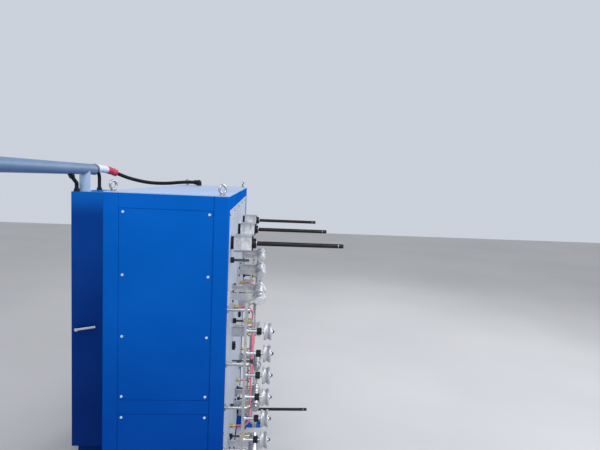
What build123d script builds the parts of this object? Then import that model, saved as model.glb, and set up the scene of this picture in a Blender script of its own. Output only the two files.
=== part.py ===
from build123d import *
import math
import os

# Wire pay-off cabinet of a cable line. Millimetres, +Z up, floor at z = 0.
# While it is built, X runs from the left side (0) to the working side,
# and Y runs back from the front end (0).

# Welded frame of the main cabinet
body_width = 420
body_length = 1620
body_height = 1530
floor_gap = 30
post_width = 52
middle_post_width = 50
rail_height = 50
side_bays = 3
tube_edge_radius = 4

# Sheet metal
panel_thickness = 2.5
panel_gap = 1.5
lip_width = 18
lip_thickness = 3
top_plate_thickness = 3
base_plate_thickness = 3

# Working plate that carries the stations
plate_thickness = 12
plate_recess = 3

# Feet
foot_diameter = 48
foot_pad_height = 12
foot_stem_diameter = 16
foot_inset = 26
stabilizer_inset = 300
stabilizer_reach = 150
stabilizer_height = 95
stabilizer_width = 80
stabilizer_sheet = 8

# Lifting eyes on the top plate: corner, and how far each is turned
eye_ring_diameter = 36
eye_wire_diameter = 8
eye_collar_diameter = 20
eye_collar_height = 6
eye_inset_x = 26
eye_inset_y = 26
eye_turns = {"front_left": 62, "front_right": 42, "back_left": 12, "back_right": 75}

# Stations: columns along the plate, spindles in a high and a low row
first_column = 205
last_column_margin = 395
column_count = 3
column_pitch = (body_length - first_column - last_column_margin) / (column_count - 1)
spindle_heights = (1345, 152)
pivot_heights = (1090, 390)
screw_heights = (945, 535)
pivot_offset = 290

# Spindles and their bearings
running_gap = 0.1
side_play = 0.3
cut_margin = 1
spindle_diameter = 18
spindle_reach = 440
spindle_tip_chamfer = 2
spindle_collar_diameter = 40
spindle_collar_length = 16
spindle_tail = 30
spindle_stop_diameter = 40
spindle_stop_length = 12
plate_hole_clearance = 8
bearing_ring_diameter = 52
bearing_ring_length = 12
bearing_block_size = 64
bearing_block_length = 68

# Stub shafts of the dancer pivots and the tension screws
stub_diameter = 10
stub_collar_diameter = 24
stub_collar_length = 15
bush_diameter = 26
bush_start = 48
bush_length = 36
stub_cap_diameter = 22
stub_cap_length = 5
screw_reach = 96

# Dancer arms, which rest on their lower stop
dancer_length = 180
dancer_droop = 55
dancer_hub_diameter = 34
dancer_hub_length = 24
dancer_bar_width = 22
dancer_bar_thickness = 10
dancer_axle_diameter = 10
shoulder_length = 2
axle_shoulder_diameter = 16
axle_cap_length = 4

# Grooved wheels
wheel_diameter = 64
dancer_wheel_width = 20
guide_wheel_width = 28
wheel_groove_depth = 6
wheel_rim_width = 5
wheel_web_recess = 4
wheel_hub_diameter = 26

# Bank of guide wheels on an upright bar near the front end
guide_place = 95
guide_top_height = 1030
guide_pitch = 85
guide_count = 6
guide_post_diameter = 12
guide_flange_diameter = 24
guide_flange_length = 6
guide_bar_start = 66
guide_bar_thickness = 10
guide_bar_width = 30
guide_bar_ends = (535, 1140)
guide_rod_heights = (1110, 902, 732, 562)
guide_rod_diameter = 12
guide_rod_flange_diameter = 26
guide_rod_flange_length = 5
guide_shoulder_start = 136
guide_shoulder_diameter = 18
guide_hub_start = 112
guide_hub_length = 18
guide_hub_diameter = 26
guide_cap_length = 5

# Tension brakes: aluminium cylinders along the plate
brake_diameter = 46
brake_length = 220
brake_nose_diameter = 32
brake_nose_length = 25
brake_standoff = 115
brake_rise = 30
brake_overhang = 15
brake_chamfer = 2
brake_groove_width = 4
brake_groove_depth = 1.5
brake_groove_places = (24, 36, 120, 196)
bracket_places = (50, 180)
bracket_thickness = 10
bracket_wall = 6
bracket_bar_height = 26
bracket_foot_height = 52
bracket_foot_depth = 8

# Plates that tie each station's two stub shafts together, and valve blocks between the rows
link_plate_start = 60
link_plate_thickness = 10
link_plate_width = 36
valve_height = 890
valve_size = 44
valve_length = 62
valve_offset = 320

# Reel drivers beside the spindles
driver_drop = 68
driver_reach = 72
driver_diameter = 10
driver_collar_diameter = 22
driver_collar_length = 14

# Air hoses between the rows, and small boxes on the plate
hose_diameter = 10
hose_offset = 330
hose_standoff = 90
hose_bend_radius = 40
hose_top = 1000
hose_bottom = 420
hose_clip_height = 740
hose_clip_size = 18
hose_clip_rod_diameter = 8
fitting_diameter = 18
fitting_length = 12
sensor_height = 828
sensor_size = 30
sensor_depth = 14

# Control cabinet beside the left side
control_width = 463
control_gap = 20
control_front = 968
control_depth = 430
control_height = 1485
control_plinth_height = 60
control_plinth_inset = 20
control_sheet = 2.5
door_thickness = 20
door_sheet = 2
door_seat_gap = 0.5
door_edge_gap = 2
door_border = 18
mounting_plate_margin = 40
mounting_plate_sheet = 2
mounting_standoff_length = 25
mounting_standoff_diameter = 14

# Door hinges and lever
hinge_axis_gap = 10
hinge_barrel_diameter = 12
hinge_pin_diameter = 6
hinge_half_length = 28
hinge_leaf_thickness = 3
hinge_leaf_length = 50
hinge_inset = 160
lever_inset = 35
lever_height = 740
lever_rose_diameter = 32
lever_rose_height = 6
lever_neck_diameter = 18
lever_neck_length = 26
lever_length = 105
lever_bar_height = 12
lever_bar_thickness = 10
lever_tilt = 10

# Arm of the operator panel
arm_x = -440
arm_rise = 122
arm_diameter = 59
arm_back = 1170
arm_front = -175
arm_post_y = 1042
arm_post_diameter = 56
arm_flange_diameter = 66
arm_flange_height = 8
arm_cap_diameter = 63
arm_cap_length = 12
hanger_diameter = 40
panel_box_width = 300
panel_box_depth = 100
panel_box_height = 260
panel_box_drop = 67
panel_box_radius = 8
screen_width = 220
screen_height = 140
screen_recess = 3
screen_drop = 30

# Cables and their glands
gland_diameter = 26
gland_height = 16
link_cable_diameter = 22
drop_cable_diameter = 20
elbow_x = 110
elbow_y = 1520
elbow_rise = 20
elbow_body_diameter = 34
elbow_mouth_length = 30
front_drop_gland = (-468, 1003)
front_drop_exit_y = 850
front_drop_middle_place = (-455, 940)
front_drop_middle_rise = 60
exit_gland_diameter = 26
exit_gland_length = 56
exit_gland_reach = 36
rear_drop_gland_y = 1310
rear_drop_x = -453
link_cable_x = -427
link_cable_straight = 80
front_drop_hump = 30
rear_drop_rise = -12
link_cable_rise = 7

# Derived places that several pieces share
arm_height = control_height + arm_rise
panel_box_top = arm_height - panel_box_drop
elbow_height = body_height + top_plate_thickness + elbow_rise
front_drop_middle = (*front_drop_middle_place, control_height + front_drop_middle_rise)
face_x = body_width - plate_recess
inner_low = floor_gap + rail_height
inner_high = body_height - rail_height
middle_rail_low = (inner_low + inner_high - rail_height) / 2
bay_length = (body_length - 2 * post_width - (side_bays - 1) * middle_post_width) / side_bays
columns = [first_column + i * column_pitch for i in range(column_count)]
stations = [(u, *heights) for heights in zip(pivot_heights, screw_heights) for u in columns]
spindle_places = [(u, z) for z in spindle_heights for u in columns]
guide_heights = [guide_top_height - i * guide_pitch for i in range(guide_count)]
driver_heights = (spindle_heights[0] - driver_drop, spindle_heights[1] + driver_drop)
driver_places = [(u, z) for z in driver_heights for u in columns]
control_left = -control_gap - control_width
control_right = -control_gap
control_body_front = control_front + door_thickness + door_seat_gap
control_back = control_front + control_depth
hinge_x = control_right + hinge_axis_gap
hub_start = bush_start + bush_length + side_play
dancer_bar_start = hub_start + (dancer_hub_length - dancer_bar_thickness) / 2
dancer_wheel_start = dancer_bar_start + dancer_bar_thickness + shoulder_length + side_play
guide_wheel_start = guide_shoulder_start + shoulder_length + side_play


def block(x0, x1, y0, y1, z0, z1):
    """A box between two corners."""
    return Pos((x0 + x1) / 2, (y0 + y1) / 2, (z0 + z1) / 2) * Box(x1 - x0, y1 - y0, z1 - z0)


def rod_x(reach0, reach1, u, z, diameter):
    """A cylinder that stands out of the working plate, from one reach to another."""
    middle = Pos(face_x + (reach0 + reach1) / 2, u, z)
    return middle * Rot(0, 90, 0) * Cylinder(diameter / 2, reach1 - reach0)


def rod_y(y0, y1, x, z, diameter):
    """A cylinder along Y."""
    return Pos(x, (y0 + y1) / 2, z) * Rot(90, 0, 0) * Cylinder(diameter / 2, y1 - y0)


def rod_z(z0, z1, x, y, diameter):
    """An upright cylinder."""
    return Pos(x, y, (z0 + z1) / 2) * Cylinder(diameter / 2, z1 - z0)


def group(solids):
    """Several solids that share one node."""
    return Compound([solid for item in solids for solid in item.solids()])


def tube_bar(x0, x1, y0, y1, z0, z1, along):
    """A bar of the welded frame, with the rounded long edges of square tube."""
    bar = block(x0, x1, y0, y1, z0, z1)
    return fillet(bar.edges().filter_by(along), tube_edge_radius)


def side_bay_starts():
    """Where each opening of the left side starts."""
    return [post_width + i * (bay_length + middle_post_width) for i in range(side_bays)]


def levels():
    """Lower and upper edge of the low and the high row of panels."""
    return [(inner_low, middle_rail_low), (middle_rail_low + rail_height, inner_high)]


def frame_posts():
    """Four corner posts, and middle posts that stand between the left side's rails."""
    posts = []
    for x0 in (0, body_width - post_width):
        for y0 in (0, body_length - post_width):
            posts.append(tube_bar(x0, x0 + post_width, y0, y0 + post_width, floor_gap, body_height, Axis.Z))
    for start in side_bay_starts()[1:]:
        for low, high in levels():
            posts.append(block(0, post_width, start - middle_post_width, start, low, high))
    return group(posts)


def rail_levels():
    """Undersides of the bottom, middle and top rails."""
    return [floor_gap, middle_rail_low, inner_high]


def long_rails():
    """Rails along the left side at three levels, and along the working side at two."""
    rails = []
    for x0, lows in ((0, rail_levels()), (body_width - post_width, [floor_gap, inner_high])):
        for low in lows:
            rails.append(
                block(x0, x0 + post_width, post_width, body_length - post_width, low, low + rail_height)
            )
    return group(rails)


def cross_rails():
    """Short rails of the front and back ends at three levels."""
    rails = []
    for y0 in (0, body_length - post_width):
        for low in rail_levels():
            rails.append(
                block(post_width, body_width - post_width, y0, y0 + post_width, low, low + rail_height)
            )
    return group(rails)


def end_openings(outer_y, inward):
    """The two openings of one end, as panel and lip."""
    panels, lips = [], []
    x0, x1 = post_width, body_width - post_width
    seat = outer_y + inward * panel_thickness
    back = seat + inward * lip_thickness
    for low, high in levels():
        panels.append(
            block(
                x0 + panel_gap,
                x1 - panel_gap,
                min(outer_y, seat),
                max(outer_y, seat),
                low + panel_gap,
                high - panel_gap,
            )
        )
        ring = block(x0, x1, min(seat, back), max(seat, back), low, high)
        hole = block(
            x0 + lip_width,
            x1 - lip_width,
            min(seat, back) - 1,
            max(seat, back) + 1,
            low + lip_width,
            high - lip_width,
        )
        lips.append(ring - hole)
    return panels, lips


def side_openings():
    """The openings of the left side, as panels and lips."""
    panels, lips = [], []
    seat, back = panel_thickness, panel_thickness + lip_thickness
    for start in side_bay_starts():
        for low, high in levels():
            end = start + bay_length
            panels.append(
                block(0, seat, start + panel_gap, end - panel_gap, low + panel_gap, high - panel_gap)
            )
            ring = block(seat, back, start, end, low, high)
            hole = block(
                seat - 1, back + 1, start + lip_width, end - lip_width, low + lip_width, high - lip_width
            )
            lips.append(ring - hole)
    return panels, lips


def working_plate():
    """The thick plate between the posts of the working side, with a hole for each spindle."""
    plate = block(
        face_x - plate_thickness, face_x, post_width, body_length - post_width, inner_low, inner_high
    )
    for u, z in spindle_places:
        plate -= rod_x(-plate_thickness - 1, 1, u, z, spindle_diameter + plate_hole_clearance)
    return plate


def top_plate():
    """The pale sheet over the whole top."""
    sheet = block(0, body_width, 0, body_length, body_height, body_height + top_plate_thickness)
    return fillet(sheet.edges().filter_by(Axis.Z), tube_edge_radius)


def base_plate():
    """The sheet between the bottom rails that closes the cabinet from below."""
    return block(
        post_width,
        body_width - post_width,
        post_width,
        body_length - post_width,
        floor_gap,
        floor_gap + base_plate_thickness,
    )


def eye_bolts():
    """A lifting eye near each corner of the top."""
    top = body_height + top_plate_thickness
    places = {
        "front_left": (eye_inset_x, eye_inset_y),
        "front_right": (body_width - eye_inset_x, eye_inset_y),
        "back_left": (eye_inset_x, body_length - eye_inset_y),
        "back_right": (body_width - eye_inset_x, body_length - eye_inset_y),
    }
    bolts = []
    for corner, (x, y) in places.items():
        ring_radius = (eye_ring_diameter - eye_wire_diameter) / 2
        ring_height = top + eye_collar_height + eye_ring_diameter / 2 - eye_wire_diameter / 4
        ring = Pos(x, y, ring_height) * Rot(0, 0, eye_turns[corner]) * Rot(90, 0, 0)
        collar = rod_z(top, top + eye_collar_height, x, y, eye_collar_diameter)
        bolts.append(collar + ring * Torus(ring_radius, eye_wire_diameter / 2))
    return group(bolts)


def levelling_feet():
    """A screwed foot under each corner post."""
    feet = []
    for x in (foot_inset, body_width - foot_inset):
        for y in (foot_inset, body_length - foot_inset):
            pad = Pos(x, y, foot_pad_height / 2) * Cone(
                foot_diameter / 2, foot_diameter / 2 - foot_pad_height / 2, foot_pad_height
            )
            feet.append(pad + rod_z(foot_pad_height, floor_gap, x, y, foot_stem_diameter))
    return group(feet)


def stabilizer_feet():
    """Gusseted feet that stop the cabinet tipping towards the loaded spindles."""
    feet = []
    for u in (stabilizer_inset, body_length - stabilizer_inset):
        low, high = u - stabilizer_width / 2, u + stabilizer_width / 2
        sole = block(body_width, body_width + stabilizer_reach, low, high, 0, stabilizer_sheet)
        back = block(body_width, body_width + stabilizer_sheet, low, high, 0, stabilizer_height)
        corners = [
            (body_width, 0, 0),
            (body_width + stabilizer_reach, 0, 0),
            (body_width + stabilizer_reach, 0, 2 * stabilizer_sheet),
            (body_width + 2 * stabilizer_sheet, 0, stabilizer_height),
            (body_width, 0, stabilizer_height),
        ]
        outline = make_face(Polyline(*corners, close=True))
        gusset = Pos(0, u, 0) * extrude(outline, stabilizer_sheet / 2, both=True)
        feet.append(sole + back + gusset)
    return group(feet)


def bearing_blocks():
    """Aluminium block that holds each spindle's bearings."""
    blocks = []
    half = bearing_block_size / 2
    start = bearing_ring_length
    for u, z in spindle_places:
        body = block(
            face_x + start, face_x + start + bearing_block_length, u - half, u + half, z - half, z + half
        )
        body = chamfer(body.edges().filter_by(Axis.X), half / 4)
        bore = rod_x(start - 1, start + bearing_block_length + 1, u, z, spindle_diameter + running_gap)
        blocks.append(body - bore)
    return group(blocks)


def black_collars():
    """Black rings at the roots of the spindles and stub shafts, and the small sensor boxes."""
    rings = []
    for u, z in spindle_places:
        ring = rod_x(0, bearing_ring_length, u, z, bearing_ring_diameter)
        hole = rod_x(-1, bearing_ring_length + 1, u, z, spindle_diameter + running_gap)
        rings.append(ring - hole)
    for u, pivot, screw in stations:
        for height in (pivot, screw):
            ring = rod_x(0, stub_collar_length, u + pivot_offset, height, stub_collar_diameter)
            hole = rod_x(-1, stub_collar_length + 1, u + pivot_offset, height, stub_diameter + running_gap)
            rings.append(ring - hole)
    for u, z in driver_places:
        ring = rod_x(0, driver_collar_length, u, z, driver_collar_diameter)
        rings.append(ring - rod_x(-1, driver_collar_length + 1, u, z, driver_diameter + running_gap))
    for z in guide_heights:
        ring = rod_x(guide_hub_start, guide_hub_start + guide_hub_length, guide_place, z, guide_hub_diameter)
        bore = guide_post_diameter + running_gap
        hole = rod_x(guide_hub_start - 1, guide_hub_start + guide_hub_length + 1, guide_place, z, bore)
        rings.append(ring - hole)
    for u in columns:
        centre = u + pivot_offset
        half = sensor_size / 2
        rings.append(
            block(
                face_x,
                face_x + sensor_depth,
                centre - half,
                centre + half,
                sensor_height - half,
                sensor_height + half,
            )
        )
    return group(rings)


def steel_shafts():
    """Stub shafts, tension screws, guide posts and the rods that hold the hose clips."""
    shafts = []
    pivot_end = hub_start + dancer_hub_length + side_play
    for u, pivot, screw in stations:
        y = u + pivot_offset
        shaft = rod_x(0, pivot_end + stub_cap_length, y, pivot, stub_diameter)
        shafts.append(shaft + rod_x(pivot_end, pivot_end + stub_cap_length, y, pivot, stub_cap_diameter))
        shafts.append(rod_x(0, screw_reach, y, screw, stub_diameter))
    cap_start = guide_wheel_start + guide_wheel_width + side_play
    for u, z in driver_places:
        shafts.append(rod_x(0, driver_reach, u, z, driver_diameter))
    for z in guide_rod_heights:
        rod = rod_x(0, guide_bar_start, guide_place, z, guide_rod_diameter)
        shafts.append(rod + rod_x(0, guide_rod_flange_length, guide_place, z, guide_rod_flange_diameter))
    bar_face = guide_bar_start + guide_bar_thickness
    for z in guide_heights:
        post = rod_x(bar_face, cap_start + guide_cap_length, guide_place, z, guide_post_diameter)
        post += rod_x(bar_face, bar_face + guide_flange_length, guide_place, z, guide_flange_diameter)
        post += rod_x(
            guide_shoulder_start,
            guide_shoulder_start + shoulder_length,
            guide_place,
            z,
            guide_shoulder_diameter,
        )
        post += rod_x(cap_start, cap_start + guide_cap_length, guide_place, z, guide_shoulder_diameter)
        shafts.append(post)
    for u in columns:
        y = u + hose_offset
        half = hose_clip_size / 2
        clip = block(
            face_x + hose_standoff - half,
            face_x + hose_standoff + half,
            y - half,
            y + half,
            hose_clip_height - half,
            hose_clip_height + half,
        )
        clip += rod_x(0, hose_standoff - half, y, hose_clip_height, hose_clip_rod_diameter)
        hole = rod_z(
            hose_clip_height - hose_clip_size,
            hose_clip_height + hose_clip_size,
            face_x + hose_standoff,
            y,
            hose_diameter + running_gap,
        )
        shafts.append(clip - hole)
    return group(shafts)


def brass_fittings():
    """Brass bushes on the stub shafts, and the hose fittings on the plate."""
    pieces = []
    for u, pivot, screw in stations:
        for height in (pivot, screw):
            y = u + pivot_offset
            bush = rod_x(bush_start, bush_start + bush_length, y, height, bush_diameter)
            hole = rod_x(
                bush_start - cut_margin,
                bush_start + bush_length + cut_margin,
                y,
                height,
                stub_diameter + running_gap,
            )
            pieces.append(bush - hole)
    for u in columns:
        for z in (hose_top, hose_bottom):
            pieces.append(rod_x(0, fitting_length, u + hose_offset, z, fitting_diameter))
    return group(pieces)


def air_hoses():
    """One air hose in each column, from the high fitting out, down through its clip and back in."""
    hoses = []
    for u in columns:
        y = u + hose_offset
        near, far = face_x + fitting_length, face_x + hose_standoff
        corners = [(near, y, hose_top), (far, y, hose_top), (far, y, hose_bottom), (near, y, hose_bottom)]
        path = FilletPolyline(*corners, radius=hose_bend_radius)
        start = Plane(origin=path @ 0, z_dir=path % 0)
        hoses.append(sweep(start * Circle(hose_diameter / 2), path=path))
    return group(hoses)


def tension_brakes():
    """Aluminium brake cylinders that lie along the plate under the high and low rows."""
    brakes = []
    x = face_x + brake_standoff
    for u, pivot, screw in stations:
        height = pivot + brake_rise
        start = u + brake_nose_length - brake_overhang
        body = rod_y(start, start + brake_length, x, height, brake_diameter)
        body = chamfer(body.edges(), brake_chamfer)
        body += rod_y(start - brake_nose_length, start, x, height, brake_nose_diameter)
        for place in brake_groove_places:
            cut = rod_y(start + place, start + place + brake_groove_width, x, height, brake_diameter + 2)
            core = rod_y(
                start + place,
                start + place + brake_groove_width,
                x,
                height,
                brake_diameter - 2 * brake_groove_depth,
            )
            body -= cut - core
        brakes.append(body)
    return group(brakes)


def brake_brackets():
    """Aluminium clamps that carry each brake cylinder on a flat bar."""
    clamps = []
    x = face_x + brake_standoff
    outer = brake_diameter / 2 + bracket_wall
    half = bracket_thickness / 2
    for u, pivot, screw in stations:
        height = pivot + brake_rise
        for place in bracket_places:
            y = u + place
            clamp = rod_y(y - half, y + half, x, height, 2 * outer)
            low, high = height - bracket_bar_height / 2, height + bracket_bar_height / 2
            clamp += block(face_x, x, y - half, y + half, low, high)
            clamp += block(
                face_x,
                face_x + bracket_foot_depth,
                y - bracket_thickness,
                y + bracket_thickness,
                height - bracket_foot_height / 2,
                height + bracket_foot_height / 2,
            )
            clamps.append(clamp - rod_y(y - 2 * half, y + 2 * half, x, height, brake_diameter + running_gap))
    return group(clamps)


def link_plates():
    """A round-ended plate on the two brass bushes of each station, and the bar of the guide wheels."""
    plates = []
    start, end = link_plate_start, link_plate_start + link_plate_thickness
    for u, pivot, screw in stations:
        y = u + pivot_offset
        half = link_plate_width / 2
        low, high = min(pivot, screw), max(pivot, screw)
        plate = block(face_x + start, face_x + end, y - half, y + half, low, high)
        for z in (low, high):
            plate += rod_x(start, end, y, z, link_plate_width)
        for z in (low, high):
            plate -= rod_x(start - 1, end + 1, y, z, bush_diameter + running_gap)
        plates.append(plate)
    half = guide_bar_width / 2
    plates.append(
        block(
            face_x + guide_bar_start,
            face_x + guide_bar_start + guide_bar_thickness,
            guide_place - half,
            guide_place + half,
            *guide_bar_ends,
        )
    )
    return group(plates)


def valve_blocks():
    """A small aluminium air block in each column, on the plate beside the hose."""
    blocks = []
    half = valve_size / 2
    for u in columns:
        y = u + valve_offset
        low, high = valve_height - half, valve_height + half
        body = block(face_x, face_x + valve_length, y - half, y + half, low, high)
        blocks.append(chamfer(body.edges().filter_by(Axis.X), 2))
    return group(blocks)


def spindle(u, z):
    """A black spindle with the collar that a reel sits against, and a stop behind the plate."""
    nose = bearing_ring_length + bearing_block_length + side_play
    shaft = rod_x(-plate_thickness - spindle_tail, spindle_reach, u, z, spindle_diameter)
    shaft = chamfer(shaft.edges().filter_by(GeomType.CIRCLE).sort_by(Axis.X)[-1], spindle_tip_chamfer)
    collar = rod_x(nose, nose + spindle_collar_length, u, z, spindle_collar_diameter)
    stop_end = -plate_thickness - side_play
    stop = rod_x(stop_end - spindle_stop_length, stop_end, u, z, spindle_stop_diameter)
    return shaft + collar + stop


def dancer_end(u, z):
    """Where the arm of a station carries its wheel, as Y and Z."""
    droop = math.radians(dancer_droop)
    return (
        u + pivot_offset - dancer_length * math.cos(droop),
        z - dancer_length * math.sin(droop),
    )


def dancer_arm(u, z):
    """A dancer arm: hub, flat bar, and the axle of its wheel."""
    y = u + pivot_offset
    end_y, end_z = dancer_end(u, z)
    arm = rod_x(hub_start, hub_start + dancer_hub_length, y, z, dancer_hub_diameter)
    bar = Pos(face_x + dancer_bar_start + dancer_bar_thickness / 2, (y + end_y) / 2, (z + end_z) / 2)
    bar *= Rot(dancer_droop, 0, 0)
    arm += bar * Box(dancer_bar_thickness, dancer_length, dancer_bar_width)
    bar_end = dancer_bar_start + dancer_bar_thickness
    arm += rod_x(dancer_bar_start, bar_end, end_y, end_z, dancer_bar_width)
    cap_start = dancer_wheel_start + dancer_wheel_width + side_play
    arm += rod_x(bar_end, cap_start + axle_cap_length, end_y, end_z, dancer_axle_diameter)
    arm += rod_x(bar_end, bar_end + shoulder_length, end_y, end_z, axle_shoulder_diameter)
    arm += rod_x(cap_start, cap_start + axle_cap_length, end_y, end_z, axle_shoulder_diameter)
    return arm - rod_x(hub_start - 1, hub_start + dancer_hub_length + 1, y, z, stub_diameter + running_gap)


def grooved_wheel(start, width, bore, y, z):
    """A wheel with a V groove round its rim and a recessed web on both sides."""
    radius, half = wheel_diameter / 2, width / 2
    hub = wheel_hub_diameter / 2
    rim = radius - wheel_groove_depth - wheel_rim_width
    web = half - wheel_web_recess
    profile = [
        (bore / 2, -half),
        (hub, -half),
        (hub, -web),
        (rim, -web),
        (rim, -half),
        (radius, -half),
        (radius, -half + wheel_rim_width),
        (radius - wheel_groove_depth, 0),
        (radius, half - wheel_rim_width),
        (radius, half),
        (rim, half),
        (rim, web),
        (hub, web),
        (hub, half),
        (bore / 2, half),
    ]
    outline = make_face(Polyline(*[(x, 0, height) for x, height in profile], close=True))
    wheel = revolve(outline, Axis.Z)
    return Pos(face_x + start + half, y, z) * Rot(0, 90, 0) * wheel


def control_plinth():
    """The recessed plinth under the control cabinet."""
    inset = control_plinth_inset
    return block(
        control_left + inset,
        control_right - inset,
        control_body_front + inset,
        control_back - inset,
        0,
        control_plinth_height,
    )


def hinge_heights():
    """Height of each hinge, where its fixed half ends and its moving half starts."""
    low, high = control_plinth_height, control_height
    return [low + hinge_inset, (low + high) / 2, high - hinge_inset]


def control_sides():
    """The two side walls. The right one carries the fixed halves of the hinges."""
    low = control_plinth_height + control_sheet
    high = control_height - control_sheet
    front, back = control_body_front, control_back - control_sheet
    left = block(control_left, control_left + control_sheet, front, back, low, high)
    right = block(control_right - control_sheet, control_right, front, back, low, high)
    for z in hinge_heights():
        right += block(
            control_right,
            control_right + hinge_leaf_thickness,
            control_front,
            control_body_front + hinge_leaf_length,
            z - hinge_half_length,
            z,
        )
        right += block(
            control_right,
            hinge_x,
            control_front - hinge_leaf_thickness / 2,
            control_front + hinge_leaf_thickness / 2,
            z - hinge_half_length,
            z,
        )
        right += rod_z(z - hinge_half_length, z, hinge_x, control_front, hinge_barrel_diameter)
        right += rod_z(
            z - hinge_half_length, z + hinge_half_length, hinge_x, control_front, hinge_pin_diameter
        )
    return group([left, right])


def control_ends():
    """Roof and floor of the control cabinet."""
    plates = []
    for low in (control_plinth_height, control_height - control_sheet):
        plates.append(
            block(control_left, control_right, control_body_front, control_back, low, low + control_sheet)
        )
    return group(plates)


def control_back_wall():
    """The back wall of the control cabinet."""
    return block(
        control_left,
        control_right,
        control_back - control_sheet,
        control_back,
        control_plinth_height + control_sheet,
        control_height - control_sheet,
    )


def mounting_plate():
    """The bare mounting plate inside, on four standoffs."""
    back = control_back - control_sheet
    front = back - mounting_standoff_length
    margin = mounting_plate_margin
    x0, x1 = control_left + margin, control_right - margin
    z0, z1 = control_plinth_height + margin, control_height - margin
    plate = block(x0, x1, front - mounting_plate_sheet, front, z0, z1)
    for x in (x0 + margin, x1 - margin):
        for z in (z0 + margin, z1 - margin):
            plate += rod_y(front, back, x, z, mounting_standoff_diameter)
    return plate


def control_door():
    """The door: a folded pan with the moving hinge halves and the rose of its lever."""
    x0, x1 = control_left, control_right - door_edge_gap
    z0, z1 = control_plinth_height + door_edge_gap, control_height
    back = control_front + door_thickness
    door = block(x0, x1, control_front, back, z0, z1)
    door -= block(
        x0 + door_border,
        x1 - door_border,
        control_front + door_sheet,
        back + 1,
        z0 + door_border,
        z1 - door_border,
    )
    door += rod_y(
        control_front - lever_rose_height,
        control_front + door_sheet,
        control_left + lever_inset,
        lever_height,
        lever_rose_diameter,
    )
    for z in hinge_heights():
        low, high = z + side_play, z + hinge_half_length
        door += block(
            x1 - door_border / 2,
            hinge_x,
            control_front,
            control_front + hinge_leaf_thickness,
            low,
            high,
        )
        door += rod_z(low, high, hinge_x, control_front, hinge_barrel_diameter)
        door -= rod_z(low - 1, high + 1, hinge_x, control_front, hinge_pin_diameter + running_gap)
    return door


def door_handle():
    """The chrome lever of the door."""
    x, z = control_left + lever_inset, lever_height
    rose_face = control_front - lever_rose_height
    neck_end = rose_face - lever_neck_length
    handle = rod_y(neck_end, rose_face - side_play, x, z, lever_neck_diameter)
    bar = block(
        0,
        lever_length,
        -lever_bar_thickness / 2,
        lever_bar_thickness / 2,
        -lever_bar_height / 2,
        lever_bar_height / 2,
    )
    bar = fillet(bar.edges(), lever_bar_thickness / 4)
    placed = Pos(x, neck_end + lever_bar_thickness / 2, z) * Rot(0, -lever_tilt, 0) * bar
    return handle + placed


def arm_post():
    """The short post on the control cabinet that carries the arm."""
    post = rod_z(control_height, arm_height, arm_x, arm_post_y, arm_post_diameter)
    post += rod_z(control_height, control_height + arm_flange_height, arm_x, arm_post_y, arm_flange_diameter)
    reach = arm_flange_diameter
    return post - rod_y(
        arm_post_y - reach, arm_post_y + reach, arm_x, arm_height, arm_diameter + running_gap
    )


def arm_tube():
    """The straight arm along the left side."""
    return rod_y(arm_front, arm_back, arm_x, arm_height, arm_diameter)


def panel_hanger():
    """The cap on the arm's front end and the drop tube of the operator panel."""
    cap = rod_y(arm_front - arm_diameter, arm_front, arm_x, arm_height, arm_cap_diameter)
    cap = fillet(cap.edges().sort_by(Axis.Y)[0], arm_cap_diameter / 8)
    drop_y = arm_front - arm_diameter / 2
    return cap + rod_z(panel_box_top, arm_height, arm_x, drop_y, hanger_diameter)


def operator_panel():
    """The operator panel's box, with a shallow recess for the screen."""
    middle_y = arm_front - arm_diameter / 2
    y0, y1 = middle_y - panel_box_depth / 2, middle_y + panel_box_depth / 2
    x0, x1 = arm_x - panel_box_width / 2, arm_x + panel_box_width / 2
    low = panel_box_top - panel_box_height
    box = fillet(block(x0, x1, y0, y1, low, panel_box_top).edges(), panel_box_radius)
    screen_top = panel_box_top - screen_drop
    return box - block(
        arm_x - screen_width / 2,
        arm_x + screen_width / 2,
        y0 - 1,
        y0 + screen_recess,
        screen_top - screen_height,
        screen_top,
    )


def front_drop_start():
    """Where the slanted gland under the arm ends, and the way that it points."""
    mouth = Vector(arm_x, front_drop_exit_y, arm_height - arm_diameter / 2)
    way = (Vector(*front_drop_middle) - mouth).normalized()
    return mouth + way * exit_gland_reach, way


def cable_glands():
    """Glands on the control cabinet and under the arm, the arm's end cap, and the elbow on the top plate."""
    pieces = []
    for x, y in (front_drop_gland, (rear_drop_x, rear_drop_gland_y)):
        pieces.append(rod_z(control_height, control_height + gland_height, x, y, gland_diameter))
    tip, way = front_drop_start()
    exit_gland = Plane(origin=tip, z_dir=way) * Pos(0, 0, -exit_gland_length / 2)
    exit_gland *= Cylinder(exit_gland_diameter / 2, exit_gland_length)
    around = rod_y(
        front_drop_exit_y - 2 * exit_gland_length,
        front_drop_exit_y + 2 * exit_gland_length,
        arm_x,
        arm_height,
        arm_diameter + running_gap,
    )
    pieces.append((exit_gland - around).solids().sort_by(Axis.Z)[0])
    pieces.append(rod_y(arm_back, arm_back + arm_cap_length, arm_x, arm_height, arm_cap_diameter))
    top = body_height + top_plate_thickness
    stem = rod_z(top, elbow_height, elbow_x, elbow_y, elbow_body_diameter)
    knuckle = Pos(elbow_x, elbow_y, elbow_height) * Sphere(elbow_body_diameter / 2)
    mouth = Pos(elbow_x - elbow_mouth_length / 2, elbow_y, elbow_height) * Rot(0, 90, 0)
    mouth *= Cylinder(elbow_body_diameter / 2 - 2, elbow_mouth_length)
    pieces.append(stem + knuckle + mouth)
    return group(pieces)


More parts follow.
